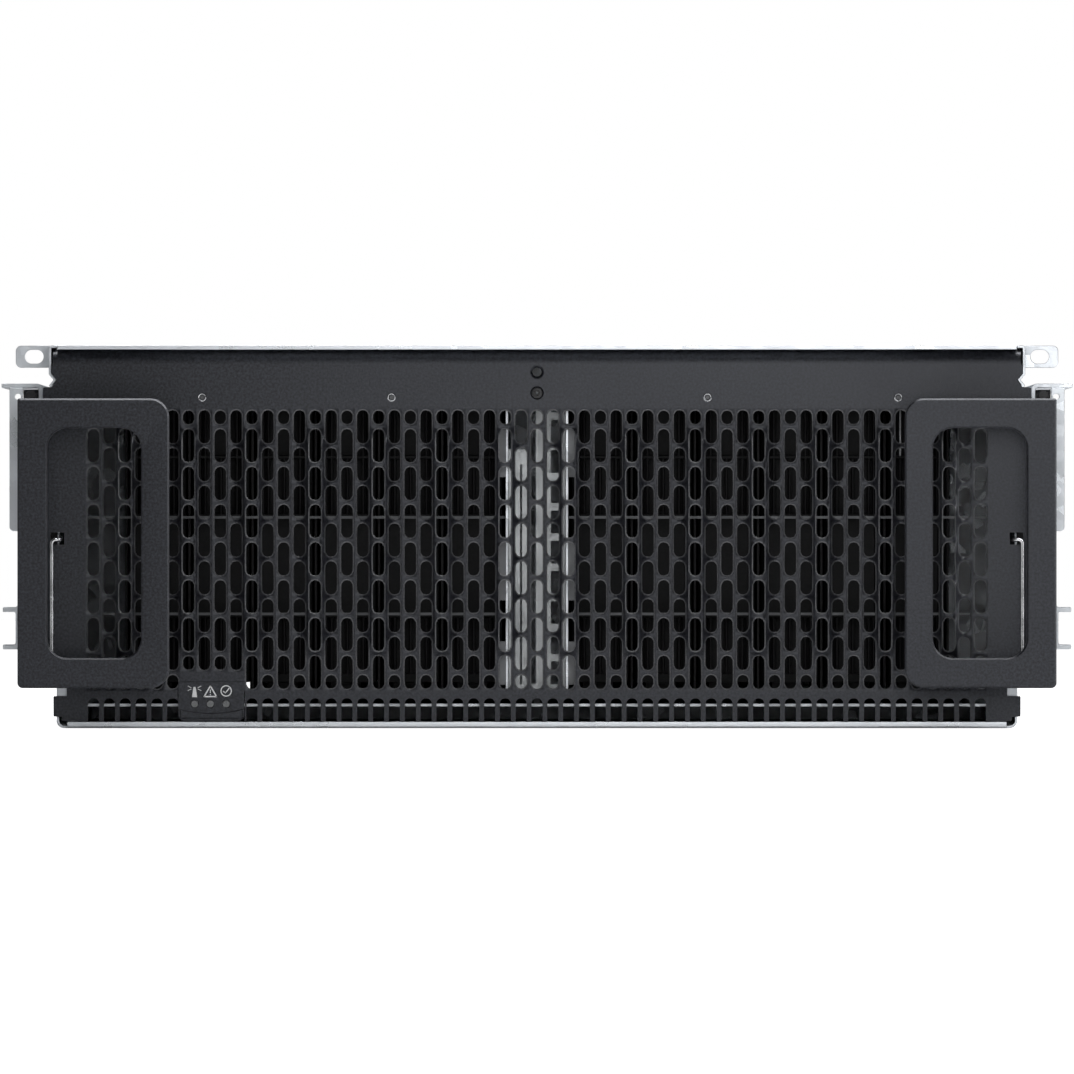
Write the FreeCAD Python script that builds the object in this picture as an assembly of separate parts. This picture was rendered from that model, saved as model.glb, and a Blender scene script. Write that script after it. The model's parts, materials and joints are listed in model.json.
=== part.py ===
import FreeCAD
import Part
import math
import os
from FreeCAD import Vector

# Four-unit, 19-inch, top-loading disk enclosure for sixty drives, in millimetres.
# +X is to the right seen from the front, +Y runs to the back, +Z is up.
# The origin is under the middle of the whole object, on the surface it stands on.

# Rack and overall sizes
RACK_SLOT_SPAN = 465.1
HEIGHT = 176.8
DEPTH = 864.0
HANDLE_REACH = 36.0
PULL_REACH = 26.0
FRONT_Y = -DEPTH / 2
PANEL_Y = FRONT_Y + HANDLE_REACH
REAR_Y = DEPTH / 2 - PULL_REACH
SHEET = 1.2

# Chassis tray
BODY_HALF = 222.0
LIP_HALF = 225.6
TRAY_FRONT_Y = PANEL_Y + 2.6
BEAD_Z = 160.9
EAR_Y = PANEL_Y + 21.0
EAR_THICK = 1.6
EAR_OUT = 241.1
EAR_LOW_Z = 166.6
EAR_SLOT_Z = 171.7
EAR_SLOT_LONG = 8.6
EAR_SLOT_HIGH = 6.4
FRONT_LIP_HALF = 217.0
FRONT_LIP_TOP_Z = 3.0
FRONT_TAB_Z = (12.0, 24.0)
RAIL_BOLT_Y = (-330.0, -130.0, 70.0, 270.0)
RAIL_BOLT_Z = 123.0
RAIL_BOLT_R = 2.2

# Perforated bezel
BEZEL_THICK = 2.5
BEZEL_TOP_Z = 175.5
COVER_TOP_Z = 176.7
COVER_HEM_Z = 174.8
COVER_HALF = 221.6
BEZEL_LOW_Z = 3.3
COLUMN_PITCH = 7.316
LAST_COLUMN = 28
FIELD_TOP_Z = 147.95
CELL_HIGH = 17.45
CELLS = 7
SLOT_WIDE = 5.27
SLOT_LONG = 15.3
OVAL_LONG = 6.2
RIB_REACH = 6.0
RIB_FOOT = 6.6
RIB_CREST = 3.2
RIB_LOW_Z = 33.0
RIB_HIGH_Z = 138.0
RIB_END_SLOPE = 5.5
RIB_WALL_FOOT = 0.6
RIB_WALL_CREST = 1.2
RIB_WALL_FRONT = 2.0
BEZEL_BAND_Z = 167.0
BEZEL_FOOT_Z = 5.3
BEZEL_WIDE_HALF = 228.2
BEZEL_TOP_HALF = 223.6
BEZEL_TOP_DEEP = 15.0
COMB_WIDE = 5.1
COMB_TOP_Z = 13.8
STATUS_LEFT_X = -165.8
STATUS_RIGHT_X = -135.2
STATUS_TOP_Z = 21.5
STATUS_COLUMNS = range(-22, -18)
LIGHT_X = (-158.2, -150.9, -143.6)
LIGHT_Z = 11.2
LIGHT_R = 1.75
STATUS_LIP_REACH = 1.6
STATUS_LIP_END_Z = 8.6
STATUS_LIP_MID_Z = 6.8
STATUS_LIP_LOW_Z = 4.6
RIVET_X = (-154.7, -67.2, 78.8, 166.9)
RIVET_Z = 152.8
RIVET_R = 2.0
RIVET_SHANK_R = 1.4
RIVET_BORE_R = 0.7
SCREW_Z = 154.9
SCREW_R = 2.0
SCREW_HEAD_R = 3.3
SPARE_HOLE_Z = 164.5
SPARE_HOLE_R = 2.1
SPARE_SINK_R = 3.4
SINK_DEEP = 1.5

# Pull handles and their release wires, given for the right-hand side
HANDLE_IN_X = 169.6
HANDLE_OUT_X = 239.5
HANDLE_LOW_Z = 18.6
HANDLE_TOP_Z = 152.2
HANDLE_DEEP = 12.0
HANDLE_WALL = 2.4
WINDOW_IN_X = 182.5
WINDOW_OUT_X = 225.8
WINDOW_LOW_Z = 32.5
WINDOW_TOP_Z = 138.5
WINDOW_R = 9.3
LEG_IN_X = 186.0
LEG_OUT_X = 214.0
WIRE_R = 0.8
WIRE_X = 224.0
WIRE_Y = PANEL_Y - 9.0
WIRE_PIVOT_Z = 26.0
WIRE_HOOK_X = 220.2
WIRE_HOOK_Z = 87.0
HOOK_SLOT_IN_X = 218.4
HOOK_SLOT_OUT_X = 224.6
HOOK_SLOT_LOW_Z = 84.8
HOOK_SLOT_TOP_Z = 90.4
RUN_CLEAR = 0.05

# Slide rails, given for the right-hand side
RAIL_Y = PANEL_Y + 28.0
RAIL_LONG = 700.0
RAIL_WEB_X = 228.7
RAIL_STEEL = 2.0
RAIL_OUT_X = 247.8
RAIL_TOP_Z = 159.3
RAIL_LOW_Z = 91.0
STRIP_OUT_X = 244.1
STRIP_IN_X = 237.9
CHANNEL_OUT_X = 247.2
CHANNEL_IN_X = 239.9
CHANNEL_LOW_Z = 36.3
CHANNEL_TOP_Z = 55.8
CHANNEL_STEEL = 2.2
CHANNEL_LONG = 58.0
NOTCH_Z = 151.0
PEG_X = 240.2
PEG_Z = 153.2
STOP_NOSE_X = 234.2
STOP_NOSE_Z = 153.6
STOP_LOW_Z = 138.0
STOP_TOP_Z = 156.2
MEMBER_OUT_X = 227.4
MEMBER_LOW_Z = 101.0
MEMBER_TOP_Z = 145.0
MEMBER_STEEL = 1.6

# Drive bay
DRIVE_WIDE = 26.1
DRIVE_DEEP = 101.6
DRIVE_HIGH = 147.0
DRIVE_Z = 21.0
FINNED_POCKETS_Z = ((25.0, 51.0), (99.0, 124.6))
OPEN_POCKET_Z = (126.0, 157.0)
POCKET_HALF = 9.2
POCKET_DEEP = 7.0
POCKET_FIN = 1.1
DRIVE_PITCH = 4 * COLUMN_PITCH
DRIVES_PER_SIDE = 6
ROWS = 5
ROW_PITCH = 110.0
BAY_Y = PANEL_Y + 48.0
BAY_END_Y = BAY_Y + ROWS * ROW_PITCH - 8.0
DUCT_X = 13.4
DUCT_STEEL = 1.15
BAFFLE_STEP_Z = 129.0
FLOOR_Z = 10.0
FLOOR_HALF = 214.0
BOARD_Z = 13.8
BOARD_TOP_Z = 15.4
BOARD_HALF = 206.0
CROSS_RAIL_Z = (98.0, 53.3)
CROSS_RAIL_DEEP = 7.6

# Rear compartment
WALL_HALF = 217.4
SHELF_Z = 50.0
FAN_SIZE = 92.0
FAN_DEEP = 38.0
FAN_Z = 110.0
FAN_X = (-156.0, -52.0, 52.0, 156.0)
FAN_BORE_R = 43.0
FAN_TIP_R = 41.9
FAN_HUB_R = 19.0
FAN_WALL_Y = REAR_Y - 48.0
SHAFT_R = 1.5
BLADES = 7
MODULE_LOW_Z = 1.5
MODULE_TOP_Z = 43.0
SUPPLY_WIDE = 86.0
SUPPLY_Y = REAR_Y - 192.0
SUPPLY_X = {"a": -88.0, "b": 2.0}
IO_WIDE = 122.0
IO_Y = REAR_Y - 176.0
IO_X = {"a": -214.0, "b": 92.0}
FACE_Y = REAR_Y + 1.0
SKIRT_X = 218.0
SKIRT_LOW_Z = 164.4
FAN_BOLT_REACH = 41.25
GRILLE_PITCH = 9.2
GRILLE_WIDE = 5.6

# Module details, measured across from the left side of each module
SUPPLY_FAN_X = 23.0
SUPPLY_FAN_Z = 23.0
SUPPLY_FAN_R = 17.6
SUPPLY_WELL_R = 18.6
INLET_IN_X = 51.0
INLET_OUT_X = 78.0
INLET_LOW_Z = 9.0
INLET_TOP_Z = 31.0
LATCH_X = 83.0
LATCH_PIN_Y = FACE_Y - 22.0
LATCH_PIN_R = 1.5
PULL_X = 46.0
PULL_R = 2.0
IO_BOARD_Z = 10.0
LEDGE_WIDE = 5.0
PORT_WIDE = 19.0
PORT_HIGH = 10.4
PORT_X = (12.0, 33.0, 54.0, 75.0)
PORT_Z = 11.6
JACK_X = 97.0
JACK_WIDE = 16.0
JACK_HIGH = 13.5
LEVER_X = 8.0
LEVER_Y = FACE_Y + 4.4
LEVER_PIN_R = 1.0


def place(plane, u, v, w):
    """A point given in a plane: front is (x, z), plan is (x, y), side is (y, z)."""
    if plane == "front":
        return Vector(u, w, v)
    if plane == "plan":
        return Vector(u, v, w)
    return Vector(w, u, v)


def loop(corners, plane="front", w=0.0):
    """Closed wire through (u, v) or (u, v, radius) corners, with round corners as arcs."""
    count = len(corners)
    starts, middles, ends = [], [], []
    for i, corner in enumerate(corners):
        tip = Vector(corner[0], corner[1], 0)
        back = (Vector(*corners[i - 1][:2], 0) - tip).normalize()
        ahead = (Vector(*corners[(i + 1) % count][:2], 0) - tip).normalize()
        radius = corner[2] if len(corner) > 2 else 0
        if radius <= 0:
            starts.append(tip)
            middles.append(None)
            ends.append(tip)
            continue
        half = back.getAngle(ahead) / 2
        reach = radius / math.tan(half)
        inward = (back + ahead).normalize()
        starts.append(tip + back * reach)
        middles.append(tip + inward * (radius / math.sin(half) - radius))
        ends.append(tip + ahead * reach)
    edges = []
    for i in range(count):
        a, b = place(plane, starts[i].x, starts[i].y, w), place(plane, ends[i].x, ends[i].y, w)
        if middles[i] is not None:
            edges.append(Part.Arc(a, place(plane, middles[i].x, middles[i].y, w), b).toShape())
        c = place(plane, starts[(i + 1) % count].x, starts[(i + 1) % count].y, w)
        if (c - b).Length > 1e-6:
            edges.append(Part.makeLine(b, c))
    return Part.Wire(edges)


def prism(corners, start, end, plane="front", holes=()):
    """Solid between two levels of a plane, with holes given as further corner lists."""
    wires = [loop(corners, plane, start)] + [loop(hole, plane, start) for hole in holes]
    face = Part.makeFace(wires, "Part::FaceMakerBullseye")
    return face.extrude(place(plane, 0, 0, end - start))


def rect(u0, v0, u1, v1, radius=0.0):
    return [(u0, v0, radius), (u1, v0, radius), (u1, v1, radius), (u0, v1, radius)]


def slot(u, v, wide, high):
    """Corners of a slot with round ends, about its centre."""
    return rect(u - wide / 2, v - high / 2, u + wide / 2, v + high / 2, min(wide, high) / 2)


def block(x0, x1, y0, y1, z0, z1):
    return Part.makeBox(x1 - x0, y1 - y0, z1 - z0, Vector(x0, y0, z0))


def rod(start, end, radius):
    return Part.makeCylinder(radius, (end - start).Length, start, end - start)


def mirrored(shape):
    return shape.mirror(Vector(0, 0, 0), Vector(1, 0, 0))


def moved(shape, x=0.0, y=0.0, z=0.0):
    copy = shape.copy()
    copy.translate(Vector(x, y, z))
    return copy


def joined(shapes):
    return shapes[0].fuse(shapes[1:]).removeSplitter()


def bent_wire(points, bends, radius):
    """Round wire along straight runs joined by tangent arcs."""
    edges = []
    here = points[0]
    for i in range(1, len(points) - 1):
        tip = points[i]
        back, ahead = (points[i - 1] - tip).normalize(), (points[i + 1] - tip).normalize()
        half = back.getAngle(ahead) / 2
        reach = bends[i - 1] / math.tan(half)
        inward = (back + ahead).normalize()
        enter, leave = tip + back * reach, tip + ahead * reach
        middle = tip + inward * (bends[i - 1] / math.sin(half) - bends[i - 1])
        edges += [Part.makeLine(here, enter), Part.Arc(enter, middle, leave).toShape()]
        here = leave
    edges.append(Part.makeLine(here, points[-1]))
    section = Part.Wire(Part.makeCircle(radius, points[0], points[1] - points[0]))
    return Part.Wire(edges).makePipeShell([section], True, False)


def save(name, *solids):
    shape = solids[0] if len(solids) == 1 else Part.makeCompound(list(solids))
    shape.exportStep("parts/" + name + ".step")


def save_pair(name, build):
    """One piece for the right-hand side and its mirror image for the left."""
    piece = build()
    save("right_" + name, piece)
    save("left_" + name, mirrored(piece))


# Chassis tray: one folded sheet with creased side walls, rack ears and a front lip

def tray_section():
    outer = [(BODY_HALF, 0, 3.5), (BODY_HALF, 154.5, 0.8), (LIP_HALF, 158.2, 0.5), (223.4, BEAD_Z, 0.5),
             (LIP_HALF, 163.4, 0.8), (LIP_HALF, HEIGHT, 1.5), (221.9, HEIGHT)]
    inner = [(221.9, HEIGHT - SHEET), (LIP_HALF - SHEET, HEIGHT - SHEET), (LIP_HALF - SHEET, 163.9, 0.4),
             (221.9, BEAD_Z, 0.6), (223.9, 158.5, 0.3), (BODY_HALF - SHEET, 155.1, 0.4),
             (BODY_HALF - SHEET, SHEET, 2.3)]
    right = outer + inner
    left = [(-c[0],) + tuple(c[1:]) for c in reversed(right)]
    middle = len(outer)
    right_outer, right_inner = right[:middle], right[middle:]
    left_inner, left_outer = left[:len(inner)], left[len(inner):]
    return left_outer + right_outer + right_inner + left_inner


def rack_ear():
    """Tab bent outwards from the right side wall, with the rack screw's slot."""
    low, high = EAR_LOW_Z, HEIGHT
    tab = [(LIP_HALF - 0.4, low), (EAR_OUT, low, 2.5), (EAR_OUT, high, 2.5), (LIP_HALF - 0.4, high)]
    screw = slot(RACK_SLOT_SPAN / 2, EAR_SLOT_Z, EAR_SLOT_LONG, EAR_SLOT_HIGH)
    return prism(tab, EAR_Y, EAR_Y + EAR_THICK, holes=[screw])


def chassis_tray():
    tray = prism(tray_section(), TRAY_FRONT_Y, REAR_Y)
    ear = rack_ear()
    lip_end = TRAY_FRONT_Y + 1
    lip_section = [(PANEL_Y, 0, 1.0), (lip_end, 0), (lip_end, SHEET), (PANEL_Y + SHEET, SHEET),
                   (PANEL_Y + SHEET, FRONT_LIP_TOP_Z), (PANEL_Y, FRONT_LIP_TOP_Z)]
    lip = prism(lip_section, -FRONT_LIP_HALF, FRONT_LIP_HALF, "side")
    tab = block(FRONT_LIP_HALF, BODY_HALF - SHEET / 2, TRAY_FRONT_Y, TRAY_FRONT_Y + SHEET, *FRONT_TAB_Z)
    tray = joined([tray, ear, mirrored(ear), lip, tab, mirrored(tab)])
    hook_gap = block(HOOK_SLOT_IN_X - 0.4, HOOK_SLOT_OUT_X, PANEL_Y, PANEL_Y + 22.0, HOOK_SLOT_LOW_Z - 2.8,
                     HOOK_SLOT_TOP_Z + 2.6)
    cuts = [hook_gap, mirrored(hook_gap)]
    rail_holes = [rod(Vector(-EAR_OUT, y, RAIL_BOLT_Z), Vector(EAR_OUT, y, RAIL_BOLT_Z), RAIL_BOLT_R)
                  for y in RAIL_BOLT_Y]
    return tray.cut(cuts + rail_holes)


# Front bezel: a moulded panel with fourteen hollow ribs and staggered slots

def rib(x, foot, crest, start_y, end_y, low_z, high_z):
    base = loop(rect(x - foot, low_z, x + foot, high_z), w=start_y)
    top = loop(rect(x - crest, low_z + RIB_END_SLOPE, x + crest, high_z - RIB_END_SLOPE), w=end_y)
    return Part.makeLoft([base, top], True, True)


def bezel_slots():
    """Every perforation as (x, z, height), staggered by half a cell from column to column."""
    found = []
    for n in range(-LAST_COLUMN, LAST_COLUMN + 1):
        x = n * COLUMN_PITCH
        even = n % 2 == 0
        near_lights = n in STATUS_COLUMNS
        first = FIELD_TOP_Z - CELL_HIGH * (1.0 if even else 0.5)
        for k in range(CELLS):
            last_by_lights = near_lights and even and k == CELLS - 1
            z = first - k * CELL_HIGH
            if last_by_lights:
                found.append((x, z + (SLOT_LONG - OVAL_LONG) / 2, OVAL_LONG))
            else:
                found.append((x, z, SLOT_LONG))
        if even:
            found.append((x, FIELD_TOP_Z - CELL_HIGH / 4, OVAL_LONG))
        elif not near_lights:
            found.append((x, FIELD_TOP_Z - CELL_HIGH * (CELLS + 0.25), OVAL_LONG))
    return found


def comb_columns():
    return [n for n in range(-LAST_COLUMN, LAST_COLUMN + 1) if n not in STATUS_COLUMNS]


def bezel_outline():
    foot = [(219.4, BEZEL_LOW_Z, 0.8), (219.4, BEZEL_FOOT_Z)]
    wing = [(223.4, BEZEL_FOOT_Z, 0.5), (223.4, 14.8, 0.5), (217.2, 14.8), (217.2, 19.8)]
    behind_handle = [(BEZEL_WIDE_HALF, 19.8, 1.0), (BEZEL_WIDE_HALF, 157.4, 0.6), (224.2, 157.6)]
    crease = [(221.8, BEAD_Z), (224.2, 163.9), (224.4, 168.0)]
    half = foot + wing + behind_handle + crease
    return half + [(-c[0],) + tuple(c[1:]) for c in reversed(half)]


def countersink(head_r, shank_r, z):
    return Part.makeCone(head_r, shank_r, SINK_DEEP, Vector(0, PANEL_Y, z), Vector(0, 1, 0))


def front_bezel():
    back_y = PANEL_Y + BEZEL_THICK
    panel = prism(bezel_outline(), PANEL_Y, back_y)
    lip_y = PANEL_Y + BEZEL_TOP_DEEP
    top_edge = prism([(PANEL_Y, BEZEL_BAND_Z), (PANEL_Y, BEZEL_TOP_Z, 3.0), (lip_y, BEZEL_TOP_Z),
                      (lip_y, BEZEL_TOP_Z - 2), (back_y, BEZEL_TOP_Z - 2, 1.5), (back_y, BEZEL_BAND_Z)],
                     -BEZEL_TOP_HALF, BEZEL_TOP_HALF, "side")
    ribs, hollows = [], []
    for n in range(2 - LAST_COLUMN, LAST_COLUMN, 4):
        x = n * COLUMN_PITCH
        ribs.append(rib(x, RIB_FOOT, RIB_CREST, PANEL_Y, PANEL_Y - RIB_REACH, RIB_LOW_Z, RIB_HIGH_Z))
        hollows.append(rib(x, RIB_FOOT - RIB_WALL_FOOT, RIB_CREST - RIB_WALL_CREST, back_y,
                           PANEL_Y - RIB_REACH + RIB_WALL_FRONT, RIB_LOW_Z + RIB_WALL_FOOT,
                           RIB_HIGH_Z - RIB_WALL_FOOT))
    bezel = joined([panel, top_edge] + ribs).cut(hollows)
    deep, near = back_y + 1, PANEL_Y - RIB_REACH - 1
    cutters = [prism(slot(x, z, SLOT_WIDE, high), near, deep) for x, z, high in bezel_slots()]
    for n in comb_columns():
        x = n * COLUMN_PITCH
        foot = BEZEL_LOW_Z - 1
        arch = [(x - COMB_WIDE / 2, foot), (x + COMB_WIDE / 2, foot), (x + COMB_WIDE / 2, COMB_TOP_Z, 2.5),
                (x - COMB_WIDE / 2, COMB_TOP_Z, 2.5)]
        cutters.append(prism(arch, near, deep))
    cutters.append(block(STATUS_LEFT_X - 0.2, STATUS_RIGHT_X + 0.2, near, deep, 0, STATUS_TOP_Z))
    cutters.append(rod(Vector(0, near, SPARE_HOLE_Z), Vector(0, deep, SPARE_HOLE_Z), SPARE_HOLE_R))
    cutters.append(rod(Vector(0, near, SCREW_Z), Vector(0, deep, SCREW_Z), SCREW_R))
    cutters += [rod(Vector(x, near, RIVET_Z), Vector(x, deep, RIVET_Z), RIVET_SHANK_R) for x in RIVET_X]
    hook_slot = block(HOOK_SLOT_IN_X, HOOK_SLOT_OUT_X, near, deep, HOOK_SLOT_LOW_Z, HOOK_SLOT_TOP_Z)
    cutters += [hook_slot, mirrored(hook_slot)]
    bezel = bezel.cut(cutters)
    sink = countersink(SPARE_SINK_R, SPARE_HOLE_R, SPARE_HOLE_Z)
    screw_sink = countersink(SCREW_HEAD_R, SCREW_R, SCREW_Z)
    return bezel.cut([sink, screw_sink])


def status_panel():
    """Small insert that carries the three status lights, with a curved lower lip."""
    outline = [(STATUS_LEFT_X, BEZEL_LOW_Z, 3.0), (STATUS_RIGHT_X, BEZEL_LOW_Z, 3.0),
               (STATUS_RIGHT_X, STATUS_TOP_Z, 1.0), (STATUS_LEFT_X, STATUS_TOP_Z, 1.0)]
    plate = prism(outline, PANEL_Y - 0.4, PANEL_Y + BEZEL_THICK)
    middle = (STATUS_LEFT_X + STATUS_RIGHT_X) / 2
    lip_y = PANEL_Y - STATUS_LIP_REACH
    low_left = Vector(STATUS_LEFT_X + 1, lip_y, STATUS_LIP_END_Z)
    low_right = Vector(STATUS_RIGHT_X - 1, lip_y, STATUS_LIP_END_Z)
    sag = Part.Arc(low_left, Vector(middle, lip_y, STATUS_LIP_MID_Z), low_right).toShape()
    right_end = Vector(STATUS_RIGHT_X - 1, lip_y, STATUS_LIP_LOW_Z)
    left_end = Vector(STATUS_LEFT_X + 1, lip_y, STATUS_LIP_LOW_Z)
    edges = [sag, Part.makeLine(low_right, right_end), Part.makeLine(right_end, left_end),
             Part.makeLine(left_end, low_left)]
    lip = Part.Face(Part.Wire(edges)).extrude(Vector(0, 2.0, 0))
    bores = [rod(Vector(x, PANEL_Y - 2, LIGHT_Z), Vector(x, PANEL_Y + 4, LIGHT_Z), LIGHT_R) for x in LIGHT_X]
    return joined([plate, lip]).cut(bores)


def light_pipes():
    """Three stepped clear pegs, round-nosed at the front, that pipe light from a board behind."""
    pegs = []
    for x in LIGHT_X:
        nose = Part.makeCylinder(LIGHT_R - RUN_CLEAR, 3.4, Vector(x, PANEL_Y - 0.8, LIGHT_Z), Vector(0, 1, 0))
        body = Part.makeCylinder(LIGHT_R + 0.6, 8.0, Vector(x, PANEL_Y + 2.5, LIGHT_Z), Vector(0, 1, 0))
        pegs.append(nose.fuse(body).removeSplitter())
    return pegs


def bezel_rivets():
    """Hollow rivets through the panel, and one countersunk screw on the centre line."""
    pieces = []
    for x in RIVET_X:
        profile = [(RIVET_BORE_R, PANEL_Y - 0.6), (RIVET_R, PANEL_Y - 0.6, 0.3), (RIVET_R, PANEL_Y),
                   (RIVET_SHANK_R, PANEL_Y), (RIVET_SHANK_R, PANEL_Y + 5.0), (RIVET_BORE_R, PANEL_Y + 5.0)]
        face = Part.Face(loop(profile, "plan"))
        ring = face.revolve(Vector(0, 0, 0), Vector(0, 1, 0), 360)
        pieces.append(moved(ring, x=x, z=RIVET_Z))
    head = countersink(SCREW_HEAD_R, SCREW_R, SCREW_Z)
    shank = Part.makeCylinder(SCREW_R - 0.1, 8.0, Vector(0, PANEL_Y + SINK_DEEP, SCREW_Z), Vector(0, 1, 0))
    drive = Part.makeCylinder(1.3, 1.0, Vector(0, PANEL_Y, SCREW_Z), Vector(0, 1, 0))
    pieces.append(head.fuse(shank).removeSplitter().cut(drive))
    return pieces


# Pull handles, release wires and slide rails

def handle():
    """Channel-section frame round a finger window, on two tapered legs from the panel."""
    outline = [(HANDLE_IN_X, HANDLE_LOW_Z, 8.8), (HANDLE_OUT_X, HANDLE_LOW_Z, 2.5),
               (HANDLE_OUT_X, HANDLE_TOP_Z, 1.0), (HANDLE_IN_X, HANDLE_TOP_Z, 8.8)]
    window = rect(WINDOW_IN_X, WINDOW_LOW_Z, WINDOW_OUT_X, WINDOW_TOP_Z, WINDOW_R)
    back_y = FRONT_Y + HANDLE_DEEP
    frame = prism(outline, FRONT_Y, back_y, holes=[window])
    wall = HANDLE_WALL
    trough = [(HANDLE_IN_X + wall, HANDLE_LOW_Z + wall, 6.4), (HANDLE_OUT_X - wall, HANDLE_LOW_Z + wall, 1.0),
              (HANDLE_OUT_X - wall, HANDLE_TOP_Z - wall, 1.0), (HANDLE_IN_X + wall, HANDLE_TOP_Z - wall, 6.4)]
    rim = rect(WINDOW_IN_X - wall, WINDOW_LOW_Z - wall, WINDOW_OUT_X + wall, WINDOW_TOP_Z + wall,
               WINDOW_R + wall)
    frame = frame.cut(prism(trough, FRONT_Y + wall, back_y + 1, holes=[rim]))
    legs = []
    for low, high in ((HANDLE_LOW_Z + 1.2, WINDOW_LOW_Z - 1.2), (WINDOW_TOP_Z + 1.2, HANDLE_TOP_Z - 1.2)):
        leg = [(FRONT_Y + 1.5, low), (PANEL_Y, low + 1.4), (PANEL_Y, high - 1.4), (FRONT_Y + 1.5, high)]
        legs.append(prism(leg, LEG_IN_X, LEG_OUT_X, "side"))
    handle_solid = joined([frame] + legs)
    pivot = rod(Vector(LEG_OUT_X - 10, WIRE_Y, WIRE_PIVOT_Z), Vector(LEG_OUT_X + 4, WIRE_Y, WIRE_PIVOT_Z),
                WIRE_R + RUN_CLEAR)
    return handle_solid.cut(pivot)


def release_wire():
    """Bent spring wire: pivot tail in the handle's leg, a finger run, and a hook into the panel."""
    points = [Vector(LEG_OUT_X - 9.5, WIRE_Y, WIRE_PIVOT_Z), Vector(WIRE_X, WIRE_Y, WIRE_PIVOT_Z),
              Vector(WIRE_X, WIRE_Y, WIRE_HOOK_Z), Vector(WIRE_HOOK_X, WIRE_Y, WIRE_HOOK_Z),
              Vector(WIRE_HOOK_X, PANEL_Y + 16.0, WIRE_HOOK_Z)]
    return bent_wire(points, [3.0, 1.8, 1.8], WIRE_R)


def slide_rail():
    """Rolled steel rail: upright web with a wide top flange and a small lower return."""
    foot_x, web_x = RAIL_WEB_X + 6, RAIL_WEB_X + RAIL_STEEL
    low_z, high_z = RAIL_LOW_Z + RAIL_STEEL, RAIL_TOP_Z - RAIL_STEEL
    section = [(RAIL_WEB_X, RAIL_LOW_Z), (foot_x, RAIL_LOW_Z), (foot_x, low_z), (web_x, low_z, 0.8),
               (web_x, high_z, 1.0), (RAIL_OUT_X, high_z), (RAIL_OUT_X, RAIL_TOP_Z),
               (RAIL_WEB_X, RAIL_TOP_Z, 2.8)]
    rail = prism(section, RAIL_Y, RAIL_Y + RAIL_LONG)
    slots = [prism(slot(RAIL_Y + 80 + 180 * k, 125, 26, 7), RAIL_WEB_X - 1, RAIL_WEB_X + 4, "side")
             for k in range(4)]
    return rail.cut(slots)


def rail_bracket():
    """Front end of the rail: a notched post plate and an outward-facing channel below it."""
    face_y = RAIL_Y - RAIL_STEEL
    inner_x = RAIL_WEB_X
    outline = [(inner_x, CHANNEL_LOW_Z), (CHANNEL_IN_X + 1.4, CHANNEL_LOW_Z),
               (CHANNEL_IN_X + 1.4, CHANNEL_TOP_Z), (STRIP_IN_X + 1.0, CHANNEL_TOP_Z + 2.0),
               (STRIP_IN_X + 1.0, RAIL_LOW_Z), (STRIP_OUT_X, RAIL_LOW_Z, 2.0),
               (STRIP_OUT_X, RAIL_TOP_Z - RAIL_STEEL), (STRIP_IN_X, RAIL_TOP_Z - RAIL_STEEL),
               (STRIP_IN_X, NOTCH_Z, 1.0), (inner_x, NOTCH_Z)]
    plate = prism(outline, face_y, RAIL_Y)
    web_x = CHANNEL_IN_X + 1.4
    low_z, top_z = CHANNEL_LOW_Z + CHANNEL_STEEL, CHANNEL_TOP_Z - CHANNEL_STEEL
    channel = prism([(CHANNEL_IN_X, CHANNEL_LOW_Z), (CHANNEL_OUT_X, CHANNEL_LOW_Z), (CHANNEL_OUT_X, low_z),
                     (web_x, low_z, 1.0), (web_x, top_z, 1.0), (CHANNEL_OUT_X, top_z),
                     (CHANNEL_OUT_X, CHANNEL_TOP_Z), (CHANNEL_IN_X, CHANNEL_TOP_Z)],
                    face_y, RAIL_Y + CHANNEL_LONG)
    peg_hole = rod(Vector(PEG_X, face_y - 1, PEG_Z), Vector(PEG_X, RAIL_Y + 1, PEG_Z), 1.4)
    return joined([plate, channel]).cut(peg_hole)


def rail_stop():
    """Moulded buffer behind the post plate, with a round nose that shows over the handle."""
    body = prism(rect(RAIL_Y, STOP_LOW_Z, RAIL_Y + 26, STOP_TOP_Z, 2.0), RAIL_WEB_X + RAIL_STEEL,
                 STRIP_IN_X - 0.2, "side")
    nose_tip = Vector(STOP_NOSE_X, RAIL_Y - 4, STOP_NOSE_Z)
    nose = rod(nose_tip, Vector(STOP_NOSE_X, RAIL_Y + 1, STOP_NOSE_Z), 2.4)
    return joined([body, nose])


def slide_member():
    """Inner member of the slide, riveted along the chassis wall."""
    low, high, wall, out = MEMBER_LOW_Z, MEMBER_TOP_Z, MEMBER_STEEL, MEMBER_OUT_X
    section = [(BODY_HALF, low), (out, low), (out, low + 5), (out - wall, low + 5),
               (out - wall, low + wall, 0.8), (BODY_HALF + wall, low + wall, 0.8),
               (BODY_HALF + wall, high - wall, 0.8), (out - wall, high - wall, 0.8), (out - wall, high - 5),
               (out, high - 5), (out, high), (BODY_HALF, high)]
    return prism(section, RAIL_Y + 8, RAIL_Y + RAIL_LONG)


# Drive bay

def drive_columns():
    return [side * k * DRIVE_PITCH for side in (-1, 1) for k in range(1, DRIVES_PER_SIDE + 1)]


def row_y(row):
    return BAY_Y + row * ROW_PITCH


def drive_pocket(span, fins):
    """Hollows in the front edge of the casting, side by side with upright fins between them."""
    low, high = span
    edges = [-POCKET_HALF]
    for x in fins:
        edges += [x - POCKET_FIN / 2, x + POCKET_FIN / 2]
    edges.append(POCKET_HALF)
    return [block(edges[k], edges[k + 1], -1, POCKET_DEEP, low, high) for k in range(0, len(edges), 2)]


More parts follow.
